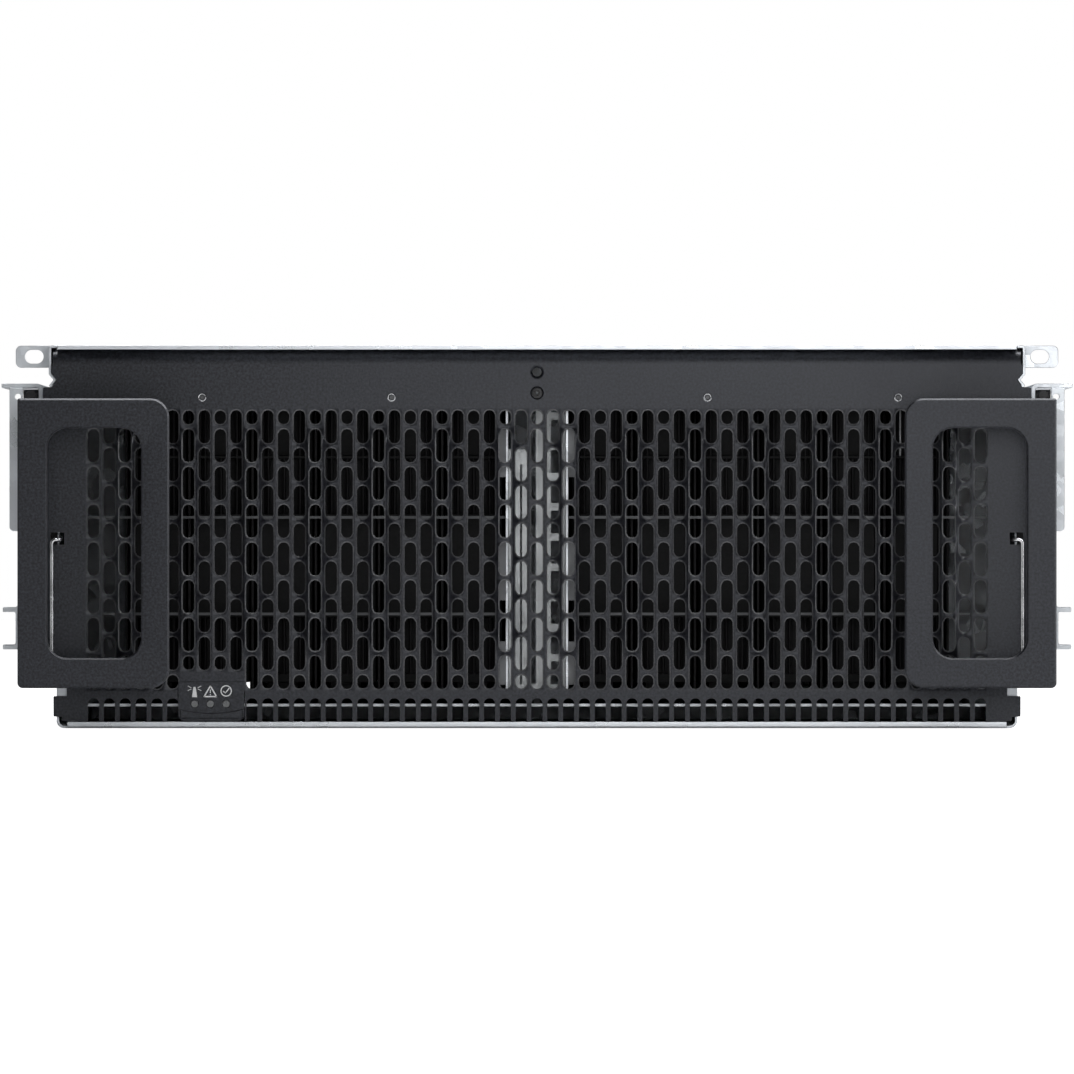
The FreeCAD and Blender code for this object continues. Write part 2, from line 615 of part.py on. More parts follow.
def drive():
    """One 3.5-inch drive on its connector: stepped casting with finned front pockets, and a carrier top."""
    half, deep, lid = DRIVE_WIDE / 2, DRIVE_DEEP, 3.0
    casting = [(-half, 2.0), (-half + 1.5, 0), (half - lid, 0), (half - lid, 4.0), (half, 4.0),
               (half, deep - 4.0), (half - lid, deep - 4.0), (half - lid, deep), (-half + 1.5, deep),
               (-half, deep - 2.0)]
    body = prism(casting, DRIVE_Z, DRIVE_Z + DRIVE_HIGH - 8, "plan")
    carrier = prism(rect(-half, 0, half, deep, 2.0), DRIVE_Z + DRIVE_HIGH - 8, DRIVE_Z + DRIVE_HIGH, "plan")
    grip = block(-half + 5, half - 5, 12, 52, DRIVE_Z + DRIVE_HIGH - 5, DRIVE_Z + DRIVE_HIGH + 1)
    plug_gap = block(-half + 4, half - 6, 30, 75, DRIVE_Z - 1, DRIVE_Z + 4)
    pockets = drive_pocket(OPEN_POCKET_Z, (-COLUMN_PITCH, COLUMN_PITCH))
    for span in FINNED_POCKETS_Z:
        pockets += drive_pocket(span, (-COLUMN_PITCH, 0.0, COLUMN_PITCH))
    return joined([body, carrier]).cut([grip, plug_gap] + pockets)


def slot_dividers():
    """Thin plates between the drive columns, with a window at every row."""
    windows = []
    for row in range(ROWS):
        y = row_y(row)
        windows.append(rect(y + 22, 58, y + DRIVE_DEEP - 22, 132, 8))
    start_y, top_z = BAY_Y - 6, 150.0
    outline = [(start_y, BOARD_TOP_Z), (BAY_END_Y, BOARD_TOP_Z), (BAY_END_Y, top_z), (start_y, top_z, 12)]
    plate = prism(outline, -0.5, 0.5, "side", windows)
    gaps = [side * (k + 0.5) * DRIVE_PITCH for side in (-1, 1) for k in range(1, DRIVES_PER_SIDE + 1)]
    return [moved(plate, x=x) for x in gaps]


def cross_rails():
    """Flat strips across the front of the bay at two heights, on both sides of the duct."""
    strips = []
    start_x, end_y = DUCT_X + DUCT_STEEL + 0.2, BAY_Y - 6.4
    for z in CROSS_RAIL_Z:
        strip = block(start_x, BODY_HALF - SHEET, end_y - CROSS_RAIL_DEEP, end_y, z - SHEET, z)
        strips += [strip, mirrored(strip)]
    return strips


def baseboard():
    board = block(-BOARD_HALF, BOARD_HALF, BAY_Y - 2, BAY_END_Y, BOARD_Z, BOARD_TOP_Z)
    vents = []
    for row in range(ROWS):
        for x in drive_columns():
            vents.append(prism(slot(x, row_y(row) + 14, 14, 8), BOARD_Z - 1, BOARD_TOP_Z + 1, "plan"))
    return board.cut(vents)


def drive_sockets():
    socket = prism(rect(-7, 0, 7, 38), BOARD_TOP_Z, DRIVE_Z + 3.5, "plan", holes=[rect(-2, 3, 2, 35)])
    return [moved(socket, x=x - 1.0, y=row_y(row) + 33.5) for row in range(ROWS) for x in drive_columns()]


def bay_floor():
    """False floor on two turned-down sides: its front edge shows as a line behind the comb of the bezel."""
    half, top = FLOOR_HALF, FLOOR_Z + SHEET
    right = [(half, top, 1.5), (half, SHEET), (half - SHEET, SHEET), (half - SHEET, FLOOR_Z)]
    left = [(-x, *rest) for x, *rest in reversed(right)]
    return prism(right + left, PANEL_Y + 15.0, BAY_END_Y + 4.0)


def board_spacers():
    """Hexagon pillars that carry the drive board on the false floor."""
    pillars = []
    for x in (-200.0, -100.0, 0.0, 100.0, 200.0):
        for y in (BAY_Y + 6, (BAY_Y + BAY_END_Y) / 2, BAY_END_Y - 8):
            corners = [(x + 3 * math.cos(math.radians(60 * k)), y + 3 * math.sin(math.radians(60 * k)))
                       for k in range(6)]
            pillars.append(prism(corners, FLOOR_Z + SHEET, BOARD_Z, "plan"))
    return pillars


def duct_wall():
    """Right wall of the middle air duct, with a flange of alternate tabs at the front."""
    low, high, start = BOARD_TOP_Z, 170.0, PANEL_Y + 12.0
    wall = block(DUCT_X, DUCT_X + DUCT_STEEL, start, BAY_END_Y, low, high)
    tabs = [block(DUCT_X, DUCT_X + 4.0, start, start + DUCT_STEEL, z0, z1)
            for z0, z1 in ((20.0, 40.0), (59.0, 86.0), (116.0, 138.0))]
    foot = block(DUCT_X, DUCT_X + 6.0, BAY_Y, BAY_END_Y, low, low + DUCT_STEEL)
    windows = [prism(slot(y, 100, 60, 20), DUCT_X - 1, DUCT_X + 3, "side")
               for y in (BAY_Y + 165, BAY_Y + 275, BAY_Y + 385)]
    return joined([wall, foot] + tabs).cut(windows)


def duct_baffle():
    """Plate across the duct: slit and step on the left, ladder of windows on the right."""
    y = PANEL_Y + 64.0
    half = DUCT_X - 0.2
    ladder = [rect(6.4, z, 11.6, z + 10.6, 0.8) for z in range(20, 160, 14)]
    openings = [rect(-7.9, 20, -6.9, 122), rect(-3.3, 20, -0.5, 150, 1.0)] + ladder
    step_x, top_z = -4.2, 168.0
    outline = [(-half, BOARD_TOP_Z), (half, BOARD_TOP_Z), (half, top_z), (step_x, top_z),
               (step_x, BAFFLE_STEP_Z, 1.5), (-half, BAFFLE_STEP_Z)]
    return prism(outline, y, y + SHEET, holes=openings)


# Rear compartment

def mid_bulkhead():
    y = BAY_END_Y + 4.2
    windows = [rect(x - 42, 68, x + 42, 152, 10) for x in FAN_X]
    windows += [rect(x - 34, 8, x + 34, 40, 4) for x in (-150, -48, 48, 150)]
    return prism(rect(-WALL_HALF, SHEET, WALL_HALF, BEZEL_TOP_Z), y, y + SHEET, holes=windows)


def module_shelf():
    start = BAY_END_Y + 5.6
    section = [(start, SHELF_Z), (REAR_Y - 1.4, SHELF_Z), (REAR_Y - 1.4, SHELF_Z + SHEET),
               (start + SHEET, SHELF_Z + SHEET, 0.6), (start + SHEET, SHELF_Z + 12), (start, SHELF_Z + 12)]
    return prism(section, -219.6, 219.6, "side")


def module_dividers():
    start = SUPPLY_Y - 4
    wall = [(start, SHEET), (REAR_Y - 1.4, SHEET), (REAR_Y - 1.4, SHELF_Z), (start, SHELF_Z, 10.0)]
    return [prism(wall, x - 0.6, x + 0.6, "side") for x in (-90.0, 0.0, 90.0)]


def fan_wall():
    holes = [slot(x, FAN_Z, 2 * FAN_BORE_R, 2 * FAN_BORE_R) for x in FAN_X]
    sheet = rect(-WALL_HALF, SHELF_Z + SHEET, WALL_HALF, BEZEL_TOP_Z)
    return prism(sheet, FAN_WALL_Y, FAN_WALL_Y + SHEET, holes=holes)


def ring(x, z, y0, y1, radius):
    return Part.makeCylinder(radius, y1 - y0, Vector(x, y0, z), Vector(0, 1, 0))


def fan_frame(x):
    """Square fan housing: two corner flanges, a round duct, and struts that carry the motor base."""
    half = FAN_SIZE / 2
    y0 = FAN_WALL_Y + SHEET
    y1 = y0 + FAN_DEEP
    bore = ring(x, FAN_Z, y0 - 1, y1 + 1, FAN_BORE_R)
    square = rect(x - half, FAN_Z - half, x + half, FAN_Z + half, 4.0)
    flanges = [prism(square, y0, y0 + 4.5), prism(square, y1 - 4.5, y1)]
    duct = ring(x, FAN_Z, y0, y1, FAN_BORE_R + 1.6)
    base = ring(x, FAN_Z, y1 - 5, y1, FAN_HUB_R)
    struts = []
    for k in range(4):
        strut = block(x + FAN_HUB_R - 1, x + FAN_BORE_R + 0.8, y1 - 4, y1 - 0.5, FAN_Z - 1.5, FAN_Z + 1.5)
        struts.append(strut.rotate(Vector(x, 0, FAN_Z), Vector(0, 1, 0), 45 + 90 * k))
    shaft = ring(x, FAN_Z, y1 - 11, y1 - 5, SHAFT_R)
    reach = FAN_BOLT_REACH
    bolts = [ring(x + dx, FAN_Z + dz, y0 - 1, y1 + 1, 2.15)
             for dx in (-reach, reach) for dz in (-reach, reach)]
    housing = joined(flanges + [duct]).cut([bore] + bolts)
    return joined([housing, base, shaft] + struts)


def blade_section(x, z, y, radius, pitch, chord, thick):
    """Thin four-sided blade section at one radius, turned to its pitch about that radius."""
    sweep, rise = math.cos(math.radians(pitch)), math.sin(math.radians(pitch))
    corners = []
    for along, across in ((-1, -1), (1, -1), (1, 1), (-1, 1)):
        dy = along * rise * chord / 2 + across * sweep * thick / 2
        dz = along * sweep * chord / 2 - across * rise * thick / 2
        corners.append(Vector(x + radius, y + dy, z + dz))
    return Part.makePolygon(corners + corners[:1])


def fan_rotor(x, z, y0, deep, hub_r, tip_r, shaft_end):
    """Cup hub with seven twisted blades, each lofted from a steep root to a flatter tip."""
    hub = ring(x, z, y0, y0 + deep, hub_r)
    nose_y = y0 + deep if shaft_end == "front" else y0
    edges = [e for e in hub.Edges if e.BoundBox.YMin > nose_y - 0.1 and e.BoundBox.YMax < nose_y + 0.1]
    hub = hub.makeFillet(1.5, edges)
    parts = [hub]
    for k in range(BLADES):
        root = blade_section(x, z, y0 + deep / 2, hub_r - 0.8, 55.0, deep * 0.95, 1.4)
        tip = blade_section(x, z, y0 + deep / 2, tip_r, 30.0, deep * 1.25, 1.0)
        blade = Part.makeLoft([root, tip], True, True)
        blade = blade.common(ring(x, z, y0, y0 + deep, tip_r))
        parts.append(blade.rotate(Vector(x, 0, z), Vector(0, 1, 0), 360.0 * k / BLADES))
    bore_y = y0 - 1.0 if shaft_end == "front" else y0 + deep - 7.0
    bore = ring(x, z, bore_y, bore_y + 8.0, SHAFT_R + RUN_CLEAR)
    return joined(parts).cut(bore)


def rear_panel():
    """Upper back sheet with a field of upright slots in front of each fan."""
    holes = []
    for x in FAN_X:
        for k in range(-4, 5):
            across = GRILLE_PITCH * k
            reach = math.sqrt(FAN_BORE_R ** 2 - across ** 2)
            for up in (-1, 1):
                holes.append(slot(x + across, FAN_Z + up * (reach / 2 + 1.2), GRILLE_WIDE, reach - 3.0))
    right = [(220.6, 44.4), (220.6, 154.9), (222.8, 158.0), (221.2, BEAD_Z), (223.9, 164.6), (223.9, 175.4)]
    outline = right + [(-x, z) for x, z in reversed(right)]
    return prism(outline, REAR_Y - 1.3, REAR_Y - 0.1, holes=holes)


def rear_screws():
    heads = []
    for x in (-204.0, -104.0, 0.0, 104.0, 204.0):
        for z in (54.0, 168.0):
            head = ring(x, z, REAR_Y - 0.1, REAR_Y + 1.9, 3.4)
            head = head.makeFillet(1.0, [e for e in head.Edges if abs(e.BoundBox.YMin - REAR_Y - 1.9) < 1e-6])
            heads.append(head.cut(ring(x, z, REAR_Y + 0.7, REAR_Y + 3, 1.5)))
    return heads


# Power supplies, one after the other from the left, seen from the front

def supply_case(x0):
    fan_x, latch_x = x0 + SUPPLY_FAN_X, x0 + LATCH_X
    case = prism(rect(x0, MODULE_LOW_Z, x0 + SUPPLY_WIDE, MODULE_TOP_Z, 1.2), SUPPLY_Y, FACE_Y)
    fan_well = ring(fan_x, SUPPLY_FAN_Z, FACE_Y - 24, FACE_Y + 1, SUPPLY_WELL_R)
    axle = ring(fan_x, SUPPLY_FAN_Z, FACE_Y - 24, FACE_Y - 12, SHAFT_R)
    inlet = rect(x0 + INLET_IN_X, INLET_LOW_Z, x0 + INLET_OUT_X, INLET_TOP_Z, 1.0)
    inlet_well = prism(inlet, FACE_Y - 22, FACE_Y + 1)
    latch_well = block(latch_x - 3.0, x0 + SUPPLY_WIDE + 1, FACE_Y - 30, FACE_Y + 1, 12.0, 34.0)
    pins = rod(Vector(latch_x, LATCH_PIN_Y, 9.0), Vector(latch_x, LATCH_PIN_Y, 37.0), LATCH_PIN_R + RUN_CLEAR)
    vents = [prism(slot(x0 + 53 + 4 * k, 37.0, 2.2, 6.0), FACE_Y - 4, FACE_Y + 1) for k in range(7)]
    return joined([case.cut([fan_well, inlet_well, latch_well, pins] + vents), axle])


def supply_rotor(x0):
    return fan_rotor(x0 + SUPPLY_FAN_X, SUPPLY_FAN_Z, FACE_Y - 18, 13.0, 8.0, SUPPLY_FAN_R, "front")


def supply_inlet(x0):
    """Three-blade mains inlet with its two upper corners cut off."""
    left, right = x0 + INLET_IN_X + 1.6, x0 + INLET_OUT_X - 1.6
    low, high, chamfer = INLET_LOW_Z + 2.0, INLET_TOP_Z - 2.4, 5.0
    mouth = [(left, low, 1.5), (right, low, 1.5), (right, high - chamfer, 1.0), (right - chamfer, high, 1.0),
             (left + chamfer, high, 1.0), (left, high - chamfer, 1.0)]
    shell = rect(x0 + INLET_IN_X + 0.2, INLET_LOW_Z + 0.2, x0 + INLET_OUT_X - 0.2, INLET_TOP_Z - 0.2, 0.8)
    body = prism(shell, FACE_Y - 21.8, FACE_Y + 0.8)
    body = body.cut(prism(mouth, FACE_Y - 15.2, FACE_Y + 1))
    middle = (left + right) / 2
    blades = [block(middle + dx - 1, middle + dx + 1, FACE_Y - 16, FACE_Y - 5, z - 2, z + 2)
              for dx, z in ((-7.0, 17.5), (0.0, 22.5), (7.0, 17.5))]
    return joined([body] + blades)


def supply_pull(x0):
    """Stirrup of round bar that stands out from the back of the supply."""
    x, tip, low, high = x0 + PULL_X, DEPTH / 2 - PULL_R, 8.0, 38.0
    points = [Vector(x, FACE_Y, low), Vector(x, tip, low), Vector(x, tip, high), Vector(x, FACE_Y, high)]
    return bent_wire(points, [6.0, 6.0], PULL_R)


def supply_latch(x0):
    """Sprung release lever at the side, on stub pins, with a flared thumb tab."""
    x, pin_y, low, high = x0 + LATCH_X, LATCH_PIN_Y, 13.0, 33.0
    arm = prism([(x - 1.2, pin_y), (x + 1.2, pin_y), (x + 1.2, FACE_Y + 12), (x - 1.2, FACE_Y + 14)],
                low, high, "plan")
    tab = prism([(x - 1.2, FACE_Y + 4), (x + 0.8, FACE_Y + 4), (x + 2.6, FACE_Y + 12, 0.8),
                 (x - 1.2, FACE_Y + 15, 0.8)], low, high, "plan")
    barrel = rod(Vector(x, pin_y, low), Vector(x, pin_y, high), 2.4)
    stubs = rod(Vector(x, pin_y, low - 3.6), Vector(x, pin_y, high + 3.6), LATCH_PIN_R)
    return joined([arm, tab, barrel, stubs])


# Input and output modules

def io_tray(x0):
    """Sheet tray with ledges for the board, a face plate open for the ports, and lugs for the eject lever."""
    x1, low = x0 + IO_WIDE, MODULE_LOW_Z
    plate_y = FACE_Y - SHEET
    section = [(x0, low, 1.5), (x1, low, 1.5), (x1, 40.0), (x1 - SHEET, 40.0), (x1 - SHEET, low + SHEET, 0.4),
               (x0 + SHEET, low + SHEET, 0.4), (x0 + SHEET, 40.0), (x0, 40.0)]
    trough = prism(section, IO_Y, plate_y)
    gap = 0.2
    row_end = x0 + JACK_X + JACK_WIDE
    port_row = rect(x0 + PORT_X[0] - gap, PORT_Z - gap, row_end + gap, PORT_Z + JACK_HIGH + gap)
    face = prism(rect(x0, low, x1, MODULE_TOP_Z, 1.0), plate_y, FACE_Y, holes=[port_row])
    pin_x = x0 + LEVER_X
    pivot = rod(Vector(pin_x, LEVER_Y, 31), Vector(pin_x, LEVER_Y, 44), LEVER_PIN_R + RUN_CLEAR)
    ledges = [block(left, left + LEDGE_WIDE, IO_Y, plate_y, low + SHEET / 2, IO_BOARD_Z)
              for left in (x0 + SHEET / 2, x1 - SHEET / 2 - LEDGE_WIDE)]
    lug_y = LEVER_Y + 3
    lug = [(pin_x - 3, FACE_Y), (pin_x + 3, FACE_Y), (pin_x + 3, lug_y, 2.9), (pin_x - 3, lug_y, 2.9)]
    lugs = [prism(lug, z, z + 1.6, "plan") for z in (32.0, 41.0)]
    return joined([trough, face] + lugs + ledges).cut(pivot)


def io_board(x0):
    board = block(x0 + 1.6, x0 + IO_WIDE - 1.6, IO_Y + 2, FACE_Y - 2, IO_BOARD_Z, PORT_Z)
    sink = [block(x0 + 34, x0 + 74, IO_Y + 50, IO_Y + 90, PORT_Z, 14.6)]
    sink += [block(x0 + 34 + 5 * k, x0 + 35.4 + 5 * k, IO_Y + 50, IO_Y + 90, 14.6, 30.0) for k in range(8)]
    return joined([board] + sink)


def io_ports(x0):
    """Four shielded disk-cable ports and one network jack, standing on the board."""
    ports = []
    for px in PORT_X:
        left, right, high = x0 + px, x0 + px + PORT_WIDE, PORT_Z + PORT_HIGH
        shell = block(left, right, FACE_Y - 34, FACE_Y + 1.2, PORT_Z, high)
        mouth = block(left + 1, right - 1, FACE_Y - 18, FACE_Y + 2, PORT_Z + 1, high - 1)
        ports.append(shell.cut(mouth))
    left, right, inside = x0 + JACK_X, x0 + JACK_X + JACK_WIDE, FACE_Y - 12
    jack = block(left, right, FACE_Y - 18, FACE_Y + 1.2, PORT_Z, PORT_Z + JACK_HIGH)
    wide = block(left + 2, right - 2, inside, FACE_Y + 2, PORT_Z + 4.5, PORT_Z + JACK_HIGH - 1.5)
    step = block(left + 5, right - 5, inside, FACE_Y + 2, PORT_Z + 2.5, PORT_Z + 5)
    ports.append(jack.cut([wide, step]))
    return ports


def io_lever(x0):
    """Eject lever across the top of the face plate, pivoted in the lugs at one end."""
    x, y, half = x0 + LEVER_X, LEVER_Y, 1.8
    arm = prism([(x + 1, y - half), (x + 88, y - half), (x + 96, y + 5, 1.2), (x + 92, y + 7, 1.0),
                 (x + 84, y + half), (x + 1, y + half)], 34.4, 40.4, "plan")
    barrel = rod(Vector(x, y, 33.8), Vector(x, y, 40.8), 2.6)
    stub = rod(Vector(x, y, 32.0), Vector(x, y, 42.6), LEVER_PIN_R)
    return joined([arm, barrel, stub])


# Covers

def cover(y0, y1, skirt_y0, skirt_y1, dents):
    """Sheet lid with two side skirts and shallow pressed dents."""
    under = COVER_TOP_Z - SHEET
    plate = block(-COVER_HALF, COVER_HALF, y0, y1, under, COVER_TOP_Z)
    edge = [(skirt_y0, under), (skirt_y1, under), (skirt_y1, SKIRT_LOW_Z, 4.0), (skirt_y0, SKIRT_LOW_Z, 4.0)]
    skirt = prism(edge, SKIRT_X, SKIRT_X + SHEET, "side")
    pressed = [prism(dent, COVER_TOP_Z - 0.5, COVER_TOP_Z + 1, "plan") for dent in dents]
    return joined([plate, skirt, mirrored(skirt)]).cut(pressed)


def drive_cover():
    """Front lid over the drives, hemmed where it overhangs the bezel."""
    y0, y1 = PANEL_Y - 7.0, BAY_END_Y + 8.0
    dents = [slot(x, (y0 + y1) / 2, 30, y1 - y0 - 90) for x in (-150, -75, 0, 75, 150)]
    hem = block(-COVER_HALF, COVER_HALF, y0, y0 + 2.4, COVER_HEM_Z, COVER_TOP_Z)
    return joined([cover(y0, y1, y0 + 26, y1 - 6, dents), hem])


def fan_cover():
    """Rear lid over the fans and modules."""
    y0 = BAY_END_Y + 8.4
    dents = [slot(x, (y0 + REAR_Y) / 2, 40, 120) for x in FAN_X]
    return cover(y0, REAR_Y, y0 + 10, REAR_Y - 8, dents)


def build():
    os.makedirs("parts", exist_ok=True)
    save("chassis_tray", chassis_tray())
    save("front_bezel", front_bezel())
    save("status_panel", status_panel())
    save("status_light_pipes", *light_pipes())
    save("bezel_rivets", *bezel_rivets())
    save_pair("handle", handle)
    save_pair("release_wire", release_wire)
    save_pair("slide_rail", slide_rail)
    save_pair("rail_bracket", rail_bracket)
    save_pair("rail_stop", rail_stop)
    member = slide_member()
    save("slide_members", member, mirrored(member))
    one = drive()
    save("drives", *[moved(one, x=x, y=row_y(row)) for row in range(ROWS) for x in drive_columns()])
    save("slot_dividers", *slot_dividers())
    save("cross_rails", *cross_rails())
    save("drive_board", baseboard())
    save("drive_sockets", *drive_sockets())
    save("bay_floor", bay_floor())
    save("board_spacers", *board_spacers())
    wall = duct_wall()
    save("duct_walls", wall, mirrored(wall))
    save("duct_baffle", duct_baffle())
    save("mid_bulkhead", mid_bulkhead())
    save("module_shelf", module_shelf())
    save("module_dividers", *module_dividers())
    save("fan_wall", fan_wall())
    for number, x in enumerate(FAN_X, 1):
        save("fan_%d_frame" % number, fan_frame(x))
        rotor_y = FAN_WALL_Y + SHEET + 4.0
        save("fan_%d_rotor" % number, fan_rotor(x, FAN_Z, rotor_y, 28.0, FAN_HUB_R, FAN_TIP_R, "back"))
    save("rear_panel", rear_panel())
    save("rear_screws", *rear_screws())
    for letter, x0 in SUPPLY_X.items():
        save("supply_%s_case" % letter, supply_case(x0))
        save("supply_%s_fan" % letter, supply_rotor(x0))
        save("supply_%s_inlet" % letter, supply_inlet(x0))
        save("supply_%s_pull" % letter, supply_pull(x0))
        save("supply_%s_latch" % letter, supply_latch(x0))
    for letter, x0 in IO_X.items():
        save("io_%s_tray" % letter, io_tray(x0))
        save("io_%s_board" % letter, io_board(x0))
        save("io_%s_ports" % letter, *io_ports(x0))
        save("io_%s_lever" % letter, io_lever(x0))
    save("drive_cover", drive_cover())
    save("fan_cover", fan_cover())


build()
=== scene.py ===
import json
import math

import bmesh
import bpy
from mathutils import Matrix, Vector


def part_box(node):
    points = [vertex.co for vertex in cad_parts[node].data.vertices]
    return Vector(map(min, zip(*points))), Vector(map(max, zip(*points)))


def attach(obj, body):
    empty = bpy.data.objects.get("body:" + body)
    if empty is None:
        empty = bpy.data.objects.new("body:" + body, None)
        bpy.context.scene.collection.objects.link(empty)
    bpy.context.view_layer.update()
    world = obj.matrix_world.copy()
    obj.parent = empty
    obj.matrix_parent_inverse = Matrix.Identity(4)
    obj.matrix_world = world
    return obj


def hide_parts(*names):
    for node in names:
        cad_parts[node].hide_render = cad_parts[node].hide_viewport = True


# Rack disk enclosure: its solids come from the frame, and this script gives them their looks.
# Metres throughout; the front faces -Y, +X is to the right and +Z is up.

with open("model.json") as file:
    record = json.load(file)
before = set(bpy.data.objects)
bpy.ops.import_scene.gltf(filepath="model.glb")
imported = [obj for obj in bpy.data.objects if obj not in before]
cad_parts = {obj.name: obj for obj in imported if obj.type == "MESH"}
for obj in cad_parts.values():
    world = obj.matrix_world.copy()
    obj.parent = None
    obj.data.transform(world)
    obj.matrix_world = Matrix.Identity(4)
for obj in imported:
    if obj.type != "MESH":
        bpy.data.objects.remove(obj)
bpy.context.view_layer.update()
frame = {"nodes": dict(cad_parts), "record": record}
RECORD = frame["record"]
BODY_OF = {node: body for body, nodes in RECORD["behaviour"]["bodies"].items() for node in nodes}
SLOT_OF = {part["node"]: part["material_slot"] for part in RECORD["subparts"]}

# Photograph's view
EAR_PLANE_Y = -0.375
VIEW_DISTANCE = 16.0
VIEW_WIDTH = 0.4968
VIEW_Z = 0.0883

# Perforated field of the bezel
COLUMN_PITCH = 0.007316
LAST_COLUMN = 28
CELL_HIGH = 0.01745
CELLS = 7
FIELD_TOP = 0.14795
FIELD_HALF = (LAST_COLUMN + 0.5) * COLUMN_PITCH
FIELD_LOW = FIELD_TOP - (CELLS + 0.5) * CELL_HIGH
SLOT_WIDE = 0.00527
SLOT_LONG = 0.0153
OVAL_LONG = 0.0062
LIGHT_COLUMNS = range(-22, -18)
LIGHTS_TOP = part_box("status_panel")[1].z
BLANK_HIGH = FIELD_LOW + CELL_HIGH / 2 - LIGHTS_TOP
RIB_REACH = 0.006
PANEL_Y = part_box("front_bezel")[0].y + RIB_REACH
PANEL_THICK = 0.0025
RIM = 0.0006
RIB_FOOT = 0.0066
RIB_CREST = 0.0032
RIB_LOW = 0.033
RIB_HIGH = 0.138
RIB_SLOPE = 0.0055
COLUMNS_PER_RIB = 4
SEWN_WITHIN = 2e-5

# Rolled top edge of the bezel
BEND_FOOT = 0.1682
BEND_STEPS = 8
SKIN = 0.002
EDGE_DEEP = 0.015
EDGE_HALF = 0.2236

# Narrow front faces of the drives' fins
FIN_WIDE = 0.0015
FIN_LONG = 0.008
FIN_BAR = 0.004
DRIVE_ROW = 0.11

# Turned ends of the slot dividers
DIVIDERS = 6
END_HALF = 0.0016
END_THICK = 0.0005
END_LAP = 0.0006
END_STEM = 0.005
END_GAP = 0.0003
END_EDGE = 0.0001

# Duct between the two banks of drives: how far out its edges keep the bright zinc, past which front faces get
# painted shade, and its outer sides
DUCT_BRIGHT = 0.0143
DUCT_SIDE = 0.01455

# Brackets that the release hooks catch
LATCH_X = 0.222
LATCH_OUT = 0.0085
LATCH_DEEP = 0.006
LATCH_THICK = 0.0012
LATCH_Y = -0.3785
LATCH_Z = (0.079, 0.096)
LATCH_EDGE = 0.0002

# Rivets and the screw in the bezel
RIVET_X = (-0.1547, -0.0672, 0.0788, 0.1669)
RIVET_Z = 0.1528
SCREW_Z = 0.1549
TURNED_STEPS = 20

# Printed symbols, in millimetres where they are drawn
PANEL_STEP = 0.0012
PRINT_PROUD = 0.00006
PRINT_SUNK = 0.0001
MM = 0.001
BEACON_X = -158.2
WARNING_X = -150.9
TICK_X = -143.6

# Angles in degrees and distances for joining, rounding and shading the pieces
JOINED_WITHIN = 2e-6
FLAT_WITHIN = 0.6
ROUNDED_PAST = 40.0
SHARP_PAST = 32.0
SHARP_PAST_BEZEL = 38.0
SHARP_PAST_TURNED = 40.0
FACES_FRONT = -0.9

# Floor and softboxes: place, aim, width, height and brightness of each face
FLOOR_SIZE = 40.0
FLOOR_Z = -0.0005
SOFTBOXES = {
    "front": ((0.13, -1.3, 0.28), (0.09, -0.4, 0.11), 0.44, 0.4, 2.1),
    "wide": ((0.3, -3.6, 0.8), (0, -0.4, 0.09), 3.4, 2.4, 0.26),
    "key": ((1.7, -0.42, 1.75), (0, -0.42, 0.09), 0.4, 1.2, 16.0),
    "above": ((0.25, -0.42, 1.9), (0, -0.42, 0.09), 0.4, 1.5, 12.0),
    "right": ((3.0, -0.4, 0.6), (0, -0.4, 0.1), 0.6, 0.9, 8.0),
    "left": ((-3.0, 0.2, 1.0), (0, 0, 0.1), 2.2, 1.6, 0.5),
    "back": ((-0.7, 3.6, 1.0), (0, 0.4, 0.09), 3.4, 2.4, 0.7),
    "top": ((0.1, 0.4, 3.0), (0, 0.1, 0.1), 2.4, 1.6, 1.0)}


# Node helpers

def add_node(tree, kind, inputs=None, **settings):
    made = tree.nodes.new(kind)
    for key, value in settings.items():
        setattr(made, key, value)
    for key, value in (inputs or {}).items():
        if isinstance(value, bpy.types.NodeSocket):
            tree.links.new(value, made.inputs[key])
        else:
            made.inputs[key].default_value = value
    return made


def calc(tree, operation, first, second=0.0, clamp=False):
    made = add_node(tree, "ShaderNodeMath", {0: first, 1: second}, operation=operation, use_clamp=clamp)
    return made.outputs[0]


def new_tree(name, kind, inputs, outputs):
    """Node tree with named sockets: inputs are (name, socket type, default), outputs (name, socket type)."""
    tree = bpy.data.node_groups.new(name, kind)
    for label, socket_type, default in inputs:
        made = tree.interface.new_socket(name=label, in_out="INPUT", socket_type=socket_type)
        if default is not None:
            made.default_value = default
    for label, socket_type in outputs:
        tree.interface.new_socket(name=label, in_out="OUTPUT", socket_type=socket_type)
    entry = tree.nodes.new("NodeGroupInput")
    leave = tree.nodes.new("NodeGroupOutput")
    return tree, entry.outputs, leave.inputs


# Finishes shared by several materials

